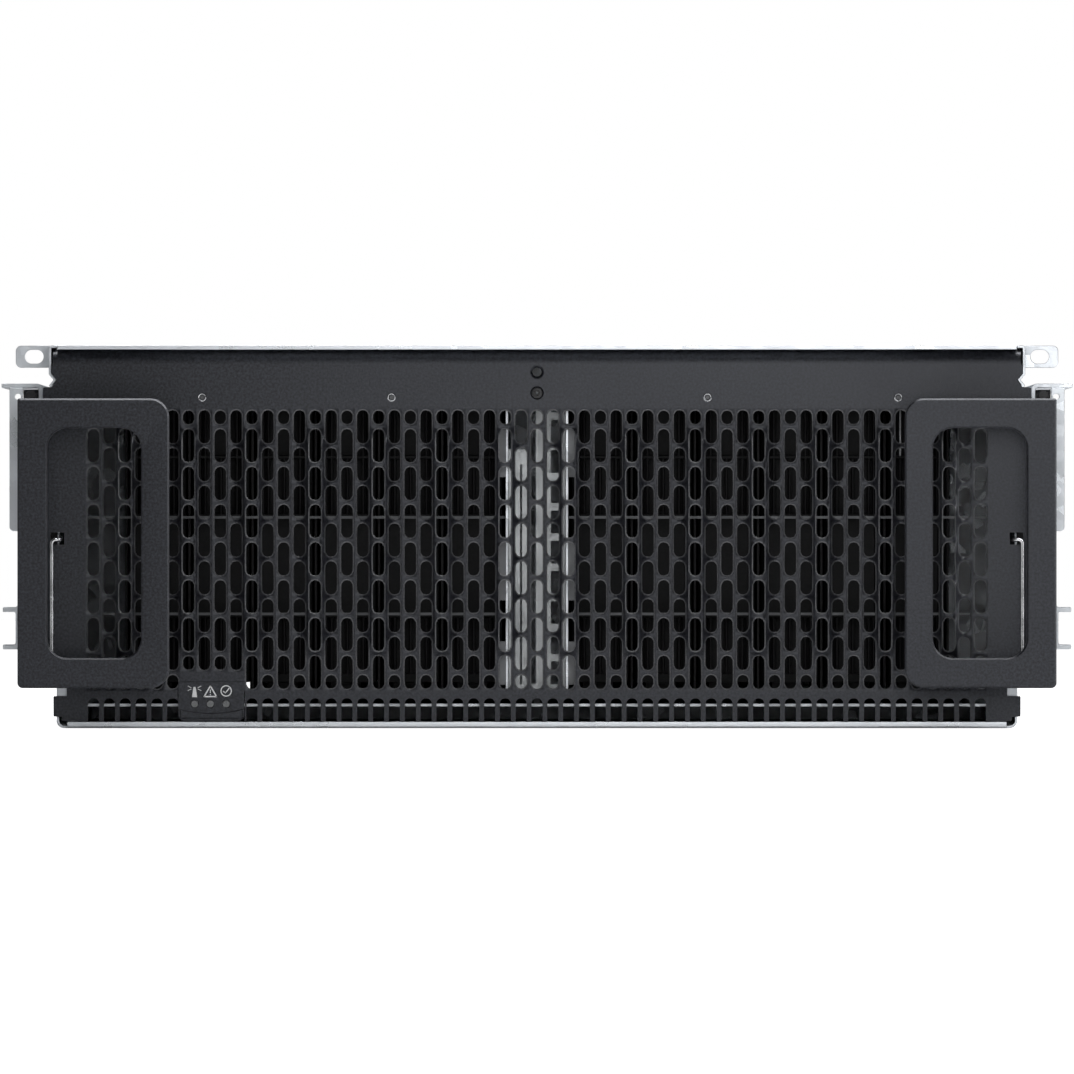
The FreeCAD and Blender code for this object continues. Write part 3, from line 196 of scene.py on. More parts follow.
def speckle_group():
    """Fine textured coat: grain in colour and height, and slow drifts in gloss."""
    tree, given, result = new_tree(
        "textured_coat", "ShaderNodeTree",
        [("Base", "NodeSocketColor", (0.03, 0.03, 0.035, 1)), ("Grain", "NodeSocketFloat", 0.0006),
         ("Contrast", "NodeSocketFloat", 0.3), ("Gloss", "NodeSocketFloat", 0.45)],
        [("Color", "NodeSocketColor"), ("Roughness", "NodeSocketFloat"), ("Height", "NodeSocketFloat")])
    here = add_node(tree, "ShaderNodeTexCoord").outputs["Object"]
    scale = calc(tree, "DIVIDE", 1.0, given["Grain"])
    grain = add_node(tree, "ShaderNodeTexNoise", {"Vector": here, "Scale": scale, "Detail": 2.0,
                                                 "Roughness": 0.6}).outputs["Fac"]
    drift = add_node(tree, "ShaderNodeTexNoise", {"Vector": here, "Scale": 9.0, "Detail": 3.0}).outputs["Fac"]
    centred = calc(tree, "SUBTRACT", grain, 0.5)
    spread = calc(tree, "MULTIPLY", centred, calc(tree, "MULTIPLY", given["Contrast"], 4.0))
    gain = calc(tree, "MAXIMUM", calc(tree, "ADD", spread, 1.0), 0.1)
    shade = calc(tree, "MULTIPLY", gain, calc(tree, "ADD", calc(tree, "MULTIPLY", drift, 0.16), 0.92))
    tint = add_node(tree, "ShaderNodeVectorMath", {0: given["Base"], "Scale": shade}, operation="SCALE")
    slow = calc(tree, "MULTIPLY", calc(tree, "SUBTRACT", drift, 0.5), 0.14)
    rough = calc(tree, "ADD", given["Gloss"], slow)
    rough = calc(tree, "ADD", rough, calc(tree, "MULTIPLY", centred, 0.2), clamp=True)
    tree.links.new(tint.outputs[0], result["Color"])
    tree.links.new(rough, result["Roughness"])
    tree.links.new(grain, result["Height"])
    return tree


def zinc_group():
    """Galvanised sheet: pale crystal patches, fine rolling lines and faint smears."""
    tree, given, result = new_tree(
        "zinc_sheet", "ShaderNodeTree",
        [("Base", "NodeSocketColor", (0.6, 0.63, 0.64, 1)), ("Spangle", "NodeSocketFloat", 0.006),
         ("Contrast", "NodeSocketFloat", 0.12), ("Gloss", "NodeSocketFloat", 0.34)],
        [("Color", "NodeSocketColor"), ("Roughness", "NodeSocketFloat"), ("Height", "NodeSocketFloat")])
    here = add_node(tree, "ShaderNodeTexCoord").outputs["Object"]
    scale = calc(tree, "DIVIDE", 1.0, given["Spangle"])
    warp = add_node(tree, "ShaderNodeTexNoise", {"Vector": here, "Scale": 90.0, "Detail": 2.0})
    warp = warp.outputs["Color"]
    bent = add_node(tree, "ShaderNodeVectorMath", {0: warp, "Scale": 0.004}, operation="SCALE").outputs[0]
    spot = add_node(tree, "ShaderNodeVectorMath", {0: here, 1: bent}, operation="ADD").outputs[0]
    cells = add_node(tree, "ShaderNodeTexVoronoi", {"Vector": spot, "Scale": scale}).outputs["Color"]
    patch = add_node(tree, "ShaderNodeSeparateColor", {"Color": cells}).outputs["Red"]
    lines_at = add_node(tree, "ShaderNodeMapping", {"Vector": here, "Scale": (900.0, 14.0, 900.0)}).outputs[0]
    lines = add_node(tree, "ShaderNodeTexNoise", {"Vector": lines_at, "Scale": 1.0, "Detail": 2.0})
    lines = lines.outputs["Fac"]
    smear = add_node(tree, "ShaderNodeTexNoise", {"Vector": here, "Scale": 14.0, "Detail": 4.0})
    smear = calc(tree, "SUBTRACT", smear.outputs["Fac"], 0.5)
    patch = calc(tree, "SUBTRACT", patch, 0.5)
    spangle = calc(tree, "MULTIPLY", patch, given["Contrast"])
    mixed = calc(tree, "ADD", spangle, calc(tree, "MULTIPLY", smear, 0.16))
    shade = calc(tree, "ADD", calc(tree, "ADD", mixed, calc(tree, "MULTIPLY", lines, 0.04)), 0.98)
    tint = add_node(tree, "ShaderNodeVectorMath", {0: given["Base"], "Scale": shade}, operation="SCALE")
    rough = calc(tree, "ADD", given["Gloss"], calc(tree, "MULTIPLY", patch, 0.16))
    rough = calc(tree, "ADD", rough, calc(tree, "MULTIPLY", smear, 0.2), clamp=True)
    tree.links.new(tint.outputs[0], result["Color"])
    tree.links.new(rough, result["Roughness"])
    tree.links.new(lines, result["Height"])
    return tree


SPECKLE = speckle_group()
ZINC = zinc_group()


def finish(name, group, base, values, metallic=0.0, bump=0.2, depth=0.0001, tint=(1, 1, 1), coat=0.0):
    """Material whose colour, gloss and relief come from a finish group."""
    material = bpy.data.materials.new(name)
    material.use_nodes = True
    tree = material.node_tree
    shader = tree.nodes["Principled BSDF"]
    made = add_node(tree, "ShaderNodeGroup", node_tree=group)
    made.inputs["Base"].default_value = (*base, 1)
    for key, value in values.items():
        made.inputs[key].default_value = value
    relief = add_node(tree, "ShaderNodeBump",
                      {"Height": made.outputs["Height"], "Strength": bump, "Distance": depth})
    tree.links.new(made.outputs["Color"], shader.inputs["Base Color"])
    tree.links.new(made.outputs["Roughness"], shader.inputs["Roughness"])
    tree.links.new(relief.outputs["Normal"], shader.inputs["Normal"])
    shader.inputs["Metallic"].default_value = metallic
    shader.inputs["Specular Tint"].default_value = (*tint, 1)
    shader.inputs["Coat Weight"].default_value = coat
    return material


BEZEL_COAT = finish("bezel_coat", SPECKLE, (0.0122, 0.0128, 0.0165),
                    {"Grain": 0.0012, "Contrast": 1.5, "Gloss": 0.34}, bump=0.5, tint=(0.9, 0.93, 1.0))
# Lighter finish for the rims of the slots: a painted highlight standing for the light the rounded rims catch.
BEZEL_RIM_HIGHLIGHT = finish("bezel_rim_highlight", SPECKLE, (0.095, 0.097, 0.104),
                    {"Grain": 0.0009, "Contrast": 0.5, "Gloss": 0.36}, bump=0.2)
HANDLE_COAT = finish("handle_coat", SPECKLE, (0.0112, 0.0117, 0.0155),
                     {"Grain": 0.0012, "Contrast": 1.6, "Gloss": 0.35}, bump=0.55, tint=(0.9, 0.93, 1.0))
GALVANISED = finish("galvanised", ZINC, (0.66, 0.69, 0.725), {"Contrast": 0.1}, metallic=1.0, bump=0.02)
INNER_ZINC = finish("inner_zinc", ZINC, (0.62, 0.64, 0.65), {"Gloss": 0.42}, metallic=1.0, bump=0.06)
PLATED = finish("plated", ZINC, (0.7, 0.71, 0.73), {"Contrast": 0.03, "Gloss": 0.2}, metallic=1.0, bump=0.03)
DRIVE_CASTING = finish("drive_casting", SPECKLE, (0.012, 0.0122, 0.013),
                       {"Grain": 0.0012, "Contrast": 0.3, "Gloss": 0.5}, metallic=0.5, tint=(0.5, 0.5, 0.5))
# Lighter finish on the fins' front faces: bare metal, lightened further as a painted highlight.
DRIVE_FIN_BARE_AND_GLINT = finish("drive_fin_bare_and_glint", SPECKLE, (0.34, 0.345, 0.355),
                   {"Grain": 0.0009, "Contrast": 0.3, "Gloss": 0.4}, metallic=0.8)
CROSS_STRIP = finish("cross_strip", ZINC, (0.13, 0.134, 0.14), {"Gloss": 0.45}, metallic=1.0, bump=0.04)
# Darker copy of the zinc finish for the duct's flanges: painted shade.
DUCT_FLANGE_SHADE = finish("duct_flange_shade", ZINC, (0.15, 0.154, 0.16), {"Gloss": 0.42}, metallic=1.0, bump=0.04)
DARK_SHEET = finish("dark_sheet", SPECKLE, (0.008, 0.008, 0.009),
                    {"Grain": 0.0007, "Contrast": 0.3, "Gloss": 0.55}, tint=(0.5, 0.5, 0.5))
DARK_SCREW = finish("dark_screw", SPECKLE, (0.012, 0.012, 0.014),
                    {"Grain": 0.0005, "Contrast": 0.2, "Gloss": 0.4})
RIVET_CORE = finish("rivet_core", SPECKLE, (0.11, 0.112, 0.116),
                    {"Grain": 0.0005, "Contrast": 0.3, "Gloss": 0.45}, metallic=0.7)
MOULDED = finish("moulded", SPECKLE, (0.014, 0.014, 0.016),
                 {"Grain": 0.0009, "Contrast": 0.25, "Gloss": 0.4})
LEVER = finish("lever", SPECKLE, (0.09, 0.1, 0.11), {"Grain": 0.0008, "Contrast": 0.15, "Gloss": 0.42})
BOARD = finish("board", SPECKLE, (0.012, 0.06, 0.032),
               {"Grain": 0.004, "Contrast": 0.45, "Gloss": 0.3}, coat=0.3)
LAMP = finish("lamp", SPECKLE, (0.16, 0.165, 0.17), {"Grain": 0.0009, "Contrast": 0.1, "Gloss": 0.3})
PRINT = finish("print", SPECKLE, (0.8, 0.81, 0.82), {"Grain": 0.0004, "Contrast": 0.06, "Gloss": 0.6})

FINISH_OF_SLOT = {"galvanised": GALVANISED, "bezel_black": BEZEL_COAT, "handle_black": HANDLE_COAT,
                  "chrome_wire": PLATED, "fastener_steel": PLATED, "drive_grey": DRIVE_CASTING,
                  "divider_dark": DARK_SHEET, "board_green": BOARD, "moulded_black": MOULDED,
                  "light_pipe": LAMP, "lever_grey": LEVER}


# Pieces made from the solids

def shown(name, mesh):
    piece = bpy.data.objects.new(name, mesh)
    bpy.context.scene.collection.objects.link(piece)
    return piece


def plain_mesh(name, built):
    """Mesh of what has been built, which is then let go."""
    mesh = bpy.data.meshes.new(name)
    built.to_mesh(mesh)
    built.free()
    return mesh


def prism(built, outlines):
    """Walls between two like outlines, and the two ends."""
    one, two = outlines
    for k in range(len(one)):
        after = (k + 1) % len(one)
        built.faces.new((one[k], one[after], two[after], two[k]))
    built.faces.new(one)
    built.faces.new(two)


def settled(piece):
    """Turns a piece's modifiers into a plain mesh."""
    depsgraph = bpy.context.evaluated_depsgraph_get()
    mesh = bpy.data.meshes.new_from_object(piece.evaluated_get(depsgraph))
    piece.modifiers.clear()
    piece.data = mesh
    return piece


def joined(node):
    """Copy of a solid's mesh with its loose triangles joined."""
    built = bmesh.new()
    built.from_mesh(frame["nodes"][node].data)
    bmesh.ops.remove_doubles(built, verts=built.verts, dist=JOINED_WITHIN)
    return built


def flattened(built):
    """Merges the triangles of each flat face."""
    angle = math.radians(FLAT_WITHIN)
    bmesh.ops.dissolve_limit(built, angle_limit=angle, verts=built.verts, edges=built.edges)
    return built


def welded(node):
    return flattened(joined(node))


def smooth(mesh, angle):
    mesh.polygons.foreach_set("use_smooth", [True] * len(mesh.polygons))
    mesh.set_sharp_from_angle(angle=math.radians(angle))


def eased(name, built, width, segments=2):
    """Piece with its hard edges rounded over by a small bevel."""
    mesh = plain_mesh(name, built)
    mesh.materials.clear()
    piece = shown(name, mesh)
    bevel = piece.modifiers.new("edges", "BEVEL")
    bevel.width = width
    bevel.segments = segments
    bevel.limit_method = "ANGLE"
    bevel.angle_limit = math.radians(ROUNDED_PAST)
    bevel.use_clamp_overlap = False
    bevel.loop_slide = False
    return evened(settled(piece))


def evened(piece, angle=SHARP_PAST):
    """Flat faces stay flat, and only the rounded edges between them are shaded round."""
    smooth(piece.data, angle)
    even = piece.modifiers.new("even", "WEIGHTED_NORMAL")
    even.keep_sharp = True
    even.weight = 100
    return settled(piece)


def stands_for(piece, node, *materials):
    """Gives a piece its finishes and puts it in a solid's place, on the same body."""
    last = len(materials) - 1
    places = [min(face.material_index, last) for face in piece.data.polygons]
    piece.data.materials.clear()
    for material in materials:
        piece.data.materials.append(material)
    piece.data.polygons.foreach_set("material_index", places)
    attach(piece, BODY_OF[node])
    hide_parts(node)


EDGE_OF = {
    "chassis_tray": 0.00025, "drive_cover": 0.0003, "fan_cover": 0.0003, "left_handle": 0.0008,
    "right_handle": 0.0008, "left_slide_rail": 0.0003, "right_slide_rail": 0.0003,
    "left_rail_bracket": 0.0003, "right_rail_bracket": 0.0003, "left_rail_stop": 0.0005,
    "right_rail_stop": 0.0005, "slide_members": 0.0002, "status_panel": 0.0003, "supply_a_case": 0.0004,
    "supply_b_case": 0.0004, "supply_a_inlet": 0.0003, "supply_b_inlet": 0.0003, "supply_a_latch": 0.0004,
    "supply_b_latch": 0.0004, "io_a_lever": 0.0004, "io_b_lever": 0.0004, "io_a_ports": 0.0002,
    "io_b_ports": 0.0002, "rear_panel": 0.0002, "fan_1_frame": 0.0004, "fan_2_frame": 0.0004,
    "fan_3_frame": 0.0004, "fan_4_frame": 0.0004, "drives": 0.0002, "rear_screws": 0.0002,
    "status_light_pipes": 0.0004}
CHAMFERED = ("left_handle", "right_handle", "drives", "rear_panel", "rear_screws")
MADE_ANEW = ("front_bezel", "bezel_rivets", "duct_walls")
SPECIAL_FINISH = {"duct_baffle": INNER_ZINC, "cross_rails": CROSS_STRIP,
                  "bay_floor": GALVANISED, "board_spacers": DARK_SCREW}


def dress_solids():
    """Rounded or chamfered edges where they show, and a finish on every solid."""
    for node, source in frame["nodes"].items():
        if node in MADE_ANEW:
            continue
        material = SPECIAL_FINISH.get(node, FINISH_OF_SLOT[SLOT_OF[node]])
        if node in EDGE_OF:
            segments = 1 if node in CHAMFERED else 2
            piece = eased(node + "_eased", welded(node), EDGE_OF[node], segments)
            stands_for(piece, node, material)
        else:
            source.data.materials.clear()
            source.data.materials.append(material)


def extents(mesh, face):
    """Width and height of a face, seen from the front."""
    corners = [mesh.vertices[k].co for k in face.vertices]
    wide = max(corner.x for corner in corners) - min(corner.x for corner in corners)
    high = max(corner.z for corner in corners) - min(corner.z for corner in corners)
    return wide, high


def brighten_fins():
    """Bare metal, with a painted highlight, on the narrow front faces of the drives' fins and cross bars."""
    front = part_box("drives")[0].y
    mesh = bpy.data.objects["drives_eased"].data
    mesh.materials.append(DRIVE_FIN_BARE_AND_GLINT)
    for face in mesh.polygons:
        behind = (face.center.y - front) % DRIVE_ROW
        if face.normal.y < FACES_FRONT and behind < FIN_WIDE:
            wide, high = extents(mesh, face)
            upright = wide < FIN_WIDE and high > FIN_LONG
            level = high < FIN_WIDE and wide > FIN_BAR
            if upright or level:
                face.material_index = 1


def duct_edges():
    """Bright folded edges of the duct's walls, beside flanges given a darker finish as painted shade."""
    built = welded("duct_walls")
    for side in (-1, 1):
        everything = built.verts[:] + built.edges[:] + built.faces[:]
        cut = (side * DUCT_BRIGHT, 0, 0)
        bmesh.ops.bisect_plane(built, geom=everything, plane_co=cut, plane_no=(1, 0, 0))
    mesh = plain_mesh("duct_walls_cut", built)
    # Front faces past the bright edges get the darker finish: painted shade on the deeper flanges.
    for face in mesh.polygons:
        outer = abs(face.center.x) > DUCT_BRIGHT
        face.material_index = 1 if outer and face.normal.y < FACES_FRONT else 0
    stands_for(shown("duct_walls_cut", mesh), "duct_walls", GALVANISED, DUCT_FLANGE_SHADE)


def divider_ends():
    """Turned ends of the slot dividers, and a strip on each side of the duct, behind the drives."""
    low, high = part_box("slot_dividers")
    turned_end = [(-END_HALF, END_THICK), (-END_HALF, 0), (END_LAP, 0), (END_LAP, -END_STEM),
                  (END_LAP + END_THICK, -END_STEM), (END_LAP + END_THICK, 0), (END_HALF, 0),
                  (END_HALF, END_THICK)]
    flat_strip = [(-END_HALF, END_THICK), (-END_HALF, 0), (END_HALF, 0), (END_HALF, END_THICK)]
    ends = [(side * (DUCT_SIDE + END_HALF), flat_strip) for side in (-1, 1)]
    for k in range(1, DIVIDERS + 1):
        gap = (k + 0.5) * COLUMNS_PER_RIB * COLUMN_PITCH
        ends += [(side * gap, turned_end) for side in (-1, 1)]
    back = high.y + END_GAP
    built = bmesh.new()
    for middle, section in ends:
        places = [(middle + x, back + y) for x, y in section]
        prism(built, [[built.verts.new((x, y, z)) for x, y in places] for z in (low.z, high.z)])
    bmesh.ops.recalc_face_normals(built, faces=built.faces)
    piece = eased("divider_ends", built, END_EDGE, 1)
    piece.data.materials.append(DARK_SHEET)
    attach(piece, BODY_OF["slot_dividers"])


def latch_brackets():
    """Folded brackets on the chassis walls that the release hooks catch, behind the slots in the bezel."""
    inside = LATCH_OUT - LATCH_THICK
    section = [(0, 0), (LATCH_OUT, 0), (LATCH_OUT, LATCH_DEEP), (inside, LATCH_DEEP), (inside, LATCH_THICK),
               (LATCH_THICK, LATCH_THICK), (LATCH_THICK, LATCH_DEEP), (0, LATCH_DEEP)]
    built = bmesh.new()
    for side in (-1, 1):
        places = [(side * (LATCH_X + x), LATCH_Y + y) for x, y in section]
        prism(built, [[built.verts.new((x, y, z)) for x, y in places] for z in LATCH_Z])
    bmesh.ops.recalc_face_normals(built, faces=built.faces)
    piece = eased("latch_brackets", built, LATCH_EDGE)
    piece.data.materials.append(DARK_SHEET)
    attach(piece, "chassis")


# Rivets and the screw that hold the bezel

def turned(name, profile, steps=TURNED_STEPS):
    """Shape turned about the Y axis from (radius, y) pairs; a radius of nought closes it."""
    built = bmesh.new()
    rings = []
    for radius, y in profile:
        angles = [2 * math.pi * k / steps for k in range(steps if radius else 1)]
        rings.append([built.verts.new((radius * math.cos(a), y, radius * math.sin(a))) for a in angles])
    for one, two in zip(rings, rings[1:]):
        for k in range(steps):
            after = (k + 1) % steps
            corners = [one[k % len(one)], one[after % len(one)], two[after % len(two)], two[k % len(two)]]
            built.faces.new(list(dict.fromkeys(corners)))
    bmesh.ops.recalc_face_normals(built, faces=built.faces)
    return shown(name, plain_mesh(name, built))


def row_tree():
    """Sets one shape on every point it is given."""
    tree, given, result = new_tree(
        "set_on_points", "GeometryNodeTree",
        [("Geometry", "NodeSocketGeometry", None), ("Shape", "NodeSocketObject", None),
         ("Material", "NodeSocketMaterial", None)], [("Geometry", "NodeSocketGeometry")])
    shape = add_node(tree, "GeometryNodeObjectInfo", {"Object": given["Shape"]}).outputs["Geometry"]
    laid = add_node(tree, "GeometryNodeInstanceOnPoints", {"Points": given["Geometry"], "Instance": shape})
    real = add_node(tree, "GeometryNodeRealizeInstances", {"Geometry": laid.outputs[0]}).outputs[0]
    coated = add_node(tree, "GeometryNodeSetMaterial", {"Geometry": real, "Material": given["Material"]})
    tree.links.new(coated.outputs[0], result["Geometry"])
    return tree


def set_row(name, places, shape, tree, material):
    """One piece made of a shape set at each place."""
    mesh = bpy.data.meshes.new(name)
    mesh.from_pydata(places, [], [])
    piece = shown(name, mesh)
    laid = piece.modifiers.new("row", "NODES")
    laid.node_group = tree
    set_inputs(laid, {"Shape": shape, "Material": material})
    settled(piece)
    bpy.data.objects.remove(shape)
    smooth(piece.data, SHARP_PAST_TURNED)
    return piece


def rivets():
    """Hollow rivets with dull cores, and one countersunk screw."""
    tree = row_tree()
    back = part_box("bezel_rivets")[1].y - PANEL_Y
    ring = turned("ring", [(0.0012, back), (0.0012, 0.0), (0.0014, -0.0004), (0.0017, -0.0006),
                           (0.0019, -0.0005), (0.0021, 0.0), (0.00185, 0.0004), (0.00185, back),
                           (0.0012, back)])
    core = turned("core", [(0, -0.0001), (0.0009, -0.0001), (0.0012, 0.0002), (0.0012, 0.0032), (0, 0.0032)])
    head = turned("head", [(0.0006, 0.001), (0.0011, 0.001), (0.0013, 0.0001), (0.0024, 0.00005),
                           (0.0026, 0.0002), (0.0015, 0.0014), (0.0012, 0.002), (0.0012, back),
                           (0.0006, back), (0.0006, 0.001)])
    places = [(x, PANEL_Y, RIVET_Z) for x in RIVET_X]
    stands_for(set_row("bezel_rivet_rings", places, ring, tree, PLATED), "bezel_rivets", PLATED)
    for name, shape, where, material in (("bezel_rivet_cores", core, places, RIVET_CORE),
                                         ("bezel_screw", head, [(0, PANEL_Y, SCREW_Z)], DARK_SCREW)):
        piece = set_row(name, where, shape, tree, material)
        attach(piece, BODY_OF["bezel_rivets"])


# Bezel: perforated, ribbed field in a border taken from the solid

def cell_edge(high, side_steps, end_steps):
    """Points round a cell, the same on both sides so that neighbours meet."""
    half_wide, half_high = COLUMN_PITCH / 2, high / 2
    edge = []
    for k in range(side_steps):
        edge.append((half_wide, -half_high + high * k / side_steps))
    for k in range(end_steps):
        edge.append((half_wide - COLUMN_PITCH * k / end_steps, half_high))
    return edge + [(-x, -z) for x, z in edge]


def tile(name, high, slot_high, side_steps, end_steps):
    """One cell of the field: a round-ended hole with a rolled rim, through a flat sheet."""
    radius = SLOT_WIDE / 2
    core = slot_high / 2 - radius
    edge = cell_edge(high, side_steps, end_steps)
    built = bmesh.new()
    rings = [[] for _ in range(5)]
    for x, z in edge:
        middle = max(-core, min(core, z))
        away = Vector((x, z - middle)).normalized()
        hole = Vector((0, middle)) + away * radius
        lip = Vector((0, middle)) + away * (radius + RIM)
        rings[0].append(built.verts.new((x, PANEL_THICK, z)))
        rings[1].append(built.verts.new((hole.x, PANEL_THICK, hole.y)))
        rings[2].append(built.verts.new((hole.x, RIM, hole.y)))
        rings[3].append(built.verts.new((lip.x, 0, lip.y)))
        rings[4].append(built.verts.new((x, 0, z)))
    count = len(edge)
    # Faces of the rim ring are marked for the lighter finish, a painted highlight.
    rim = built.faces.layers.bool.new("rim")
    for ring, (inner, outer) in enumerate(zip(rings, rings[1:])):
        for k in range(count):
            after = (k + 1) % count
            face = built.faces.new((inner[k], outer[k], outer[after], inner[after]))
            face[rim] = ring == 2
    return shown(name, plain_mesh(name, built))


def field_points():
    """Where each cell goes, and its kind: 0 a long slot, 1 a short oval, 2 no hole."""
    places, kinds = [], []
    for n in range(-LAST_COLUMN, LAST_COLUMN + 1):
        x = n * COLUMN_PITCH
        even = n % 2 == 0
        by_lights = n in LIGHT_COLUMNS
        first = FIELD_TOP - CELL_HIGH * (1.0 if even else 0.5)
        for k in range(CELLS):
            z = first - k * CELL_HIGH
            short = by_lights and even and k == CELLS - 1
            places.append((x, PANEL_Y, z + (CELL_HIGH / 4 if short else 0)))
            kinds.append(1 if short else 0)
        if by_lights:
            places.append((x, PANEL_Y, LIGHTS_TOP + BLANK_HIGH / 2))
            kinds.append(2)
        if even:
            places.append((x, PANEL_Y, FIELD_TOP - CELL_HIGH / 4))
            kinds.append(1)
        elif not by_lights:
            places.append((x, PANEL_Y, FIELD_TOP - CELL_HIGH * (CELLS + 0.25)))
            kinds.append(1)
    mesh = bpy.data.meshes.new("field_points")
    mesh.from_pydata(places, [], [])
    mark = mesh.attributes.new("kind", "INT", "POINT")
    mark.data.foreach_set("value", kinds)
    return shown("bezel_field", mesh)


def blank_tile(name, high, side_steps, end_steps):
    """Cell without a hole."""
    edge = cell_edge(high, side_steps, end_steps)
    built = bmesh.new()
    for y in (0.0, PANEL_THICK):
        corners = [built.verts.new((x, y, z)) for x, z in edge]
        built.faces.new(corners if y else corners[::-1])
    return shown(name, plain_mesh(name, built))


def field_tree():
    """Lays the cells on their points, then raises the ribs out of the sheet."""
    tree, given, result = new_tree(
        "ribbed_field", "GeometryNodeTree",
        [("Geometry", "NodeSocketGeometry", None), ("Slot cell", "NodeSocketObject", None),
         ("Oval cell", "NodeSocketObject", None), ("Blank cell", "NodeSocketObject", None),
         ("Column pitch", "NodeSocketFloat", COLUMN_PITCH), ("Rib reach", "NodeSocketFloat", RIB_REACH),
         ("Rib foot", "NodeSocketFloat", RIB_FOOT), ("Rib crest", "NodeSocketFloat", RIB_CREST),
         ("Rib low", "NodeSocketFloat", RIB_LOW), ("Rib high", "NodeSocketFloat", RIB_HIGH),
         ("Rib slope", "NodeSocketFloat", RIB_SLOPE), ("Material", "NodeSocketMaterial", None),
         ("Rim highlight material", "NodeSocketMaterial", None)],
        [("Geometry", "NodeSocketGeometry")])
    kind = add_node(tree, "GeometryNodeInputNamedAttribute", {"Name": "kind"}, data_type="INT")
    kind = kind.outputs["Attribute"]
    gathered = add_node(tree, "GeometryNodeJoinGeometry")
    for number, label in enumerate(("Slot cell", "Oval cell", "Blank cell")):
        cell = add_node(tree, "GeometryNodeObjectInfo", {"Object": given[label]}).outputs["Geometry"]
        wanted = add_node(tree, "FunctionNodeCompare", {2: kind, 3: number}, data_type="INT",
                          operation="EQUAL").outputs[0]
        laid = add_node(tree, "GeometryNodeInstanceOnPoints",
                        {"Points": given["Geometry"], "Selection": wanted, "Instance": cell})
        tree.links.new(laid.outputs[0], gathered.inputs[0])
    real = add_node(tree, "GeometryNodeRealizeInstances", {"Geometry": gathered.outputs[0]}).outputs[0]
    sewn = add_node(tree, "GeometryNodeMergeByDistance", {"Geometry": real, "Distance": SEWN_WITHIN})
    sewn = sewn.outputs[0]
    here = add_node(tree, "GeometryNodeInputPosition").outputs[0]
    axes = add_node(tree, "ShaderNodeSeparateXYZ", {0: here}).outputs
    wave = calc(tree, "MULTIPLY", given["Column pitch"], COLUMNS_PER_RIB)
    turn = calc(tree, "SUBTRACT", calc(tree, "DIVIDE", axes["X"], wave), 0.5)
    away = calc(tree, "ABSOLUTE", calc(tree, "SUBTRACT", turn, calc(tree, "ROUND", turn)))
    away = calc(tree, "MULTIPLY", away, wave)
    flank = calc(tree, "DIVIDE", calc(tree, "SUBTRACT", given["Rib foot"], away),
                 calc(tree, "SUBTRACT", given["Rib foot"], given["Rib crest"]), clamp=True)
    above = calc(tree, "SUBTRACT", axes["Z"], given["Rib low"])
    below = calc(tree, "SUBTRACT", given["Rib high"], axes["Z"])
    end = calc(tree, "DIVIDE", calc(tree, "MINIMUM", above, below), given["Rib slope"], clamp=True)
    rise = calc(tree, "MULTIPLY", calc(tree, "MINIMUM", flank, end), given["Rib reach"])
    lift = add_node(tree, "ShaderNodeCombineXYZ", {"Y": calc(tree, "MULTIPLY", rise, -1.0)}).outputs[0]
    raised = add_node(tree, "GeometryNodeSetPosition", {"Geometry": sewn, "Offset": lift}).outputs[0]
    coated = add_node(tree, "GeometryNodeSetMaterial", {"Geometry": raised, "Material": given["Material"]})
    # The marked rims get the lighter finish: a painted highlight.
    rim = add_node(tree, "GeometryNodeInputNamedAttribute", {"Name": "rim"}, data_type="BOOLEAN")
    highlighted = add_node(tree, "GeometryNodeSetMaterial",
                      {"Geometry": coated.outputs[0], "Selection": rim.outputs["Attribute"],
                       "Material": given["Rim highlight material"]})
    tree.links.new(highlighted.outputs[0], result["Geometry"])
    return tree


def set_inputs(modifier, values):
    """Sets a node modifier's inputs by their identifiers."""
    for item in modifier.node_group.interface.items_tree:
        if item.item_type == "SOCKET" and item.in_out == "INPUT" and item.name in values:
            modifier[item.identifier] = values[item.name]


def rolled_edge():
    """Top of the bezel, rolled back in one smooth bend."""
    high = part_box("front_bezel")[1].z
    bend = high - BEND_FOOT
    outer = [(PANEL_Y, BEND_FOOT)]
    inner = [(PANEL_Y + SKIN, BEND_FOOT)]
    for k in range(BEND_STEPS + 1):
        turn = math.pi / 2 * k / BEND_STEPS
        for row, radius in ((outer, bend), (inner, bend - SKIN)):
            row.append((PANEL_Y + bend - radius * math.cos(turn), BEND_FOOT + radius * math.sin(turn)))
    outer.append((PANEL_Y + EDGE_DEEP, high))
    inner.append((PANEL_Y + EDGE_DEEP, high - SKIN))
    profile = outer + inner[::-1]
    built = bmesh.new()
    ends = [[built.verts.new((x, y, z)) for y, z in profile] for x in (-EDGE_HALF, EDGE_HALF)]
    count = len(profile)
    for k in range(count):
        after = (k + 1) % count
        built.faces.new((ends[0][k], ends[1][k], ends[1][after], ends[0][after]))
    half = count // 2
    for row in ends:
        for k in range(half - 1):
            built.faces.new((row[k], row[k + 1], row[count - 2 - k], row[count - 1 - k]))
    bmesh.ops.recalc_face_normals(built, faces=built.faces)
    return shown("rolled_edge", plain_mesh("rolled_edge", built))


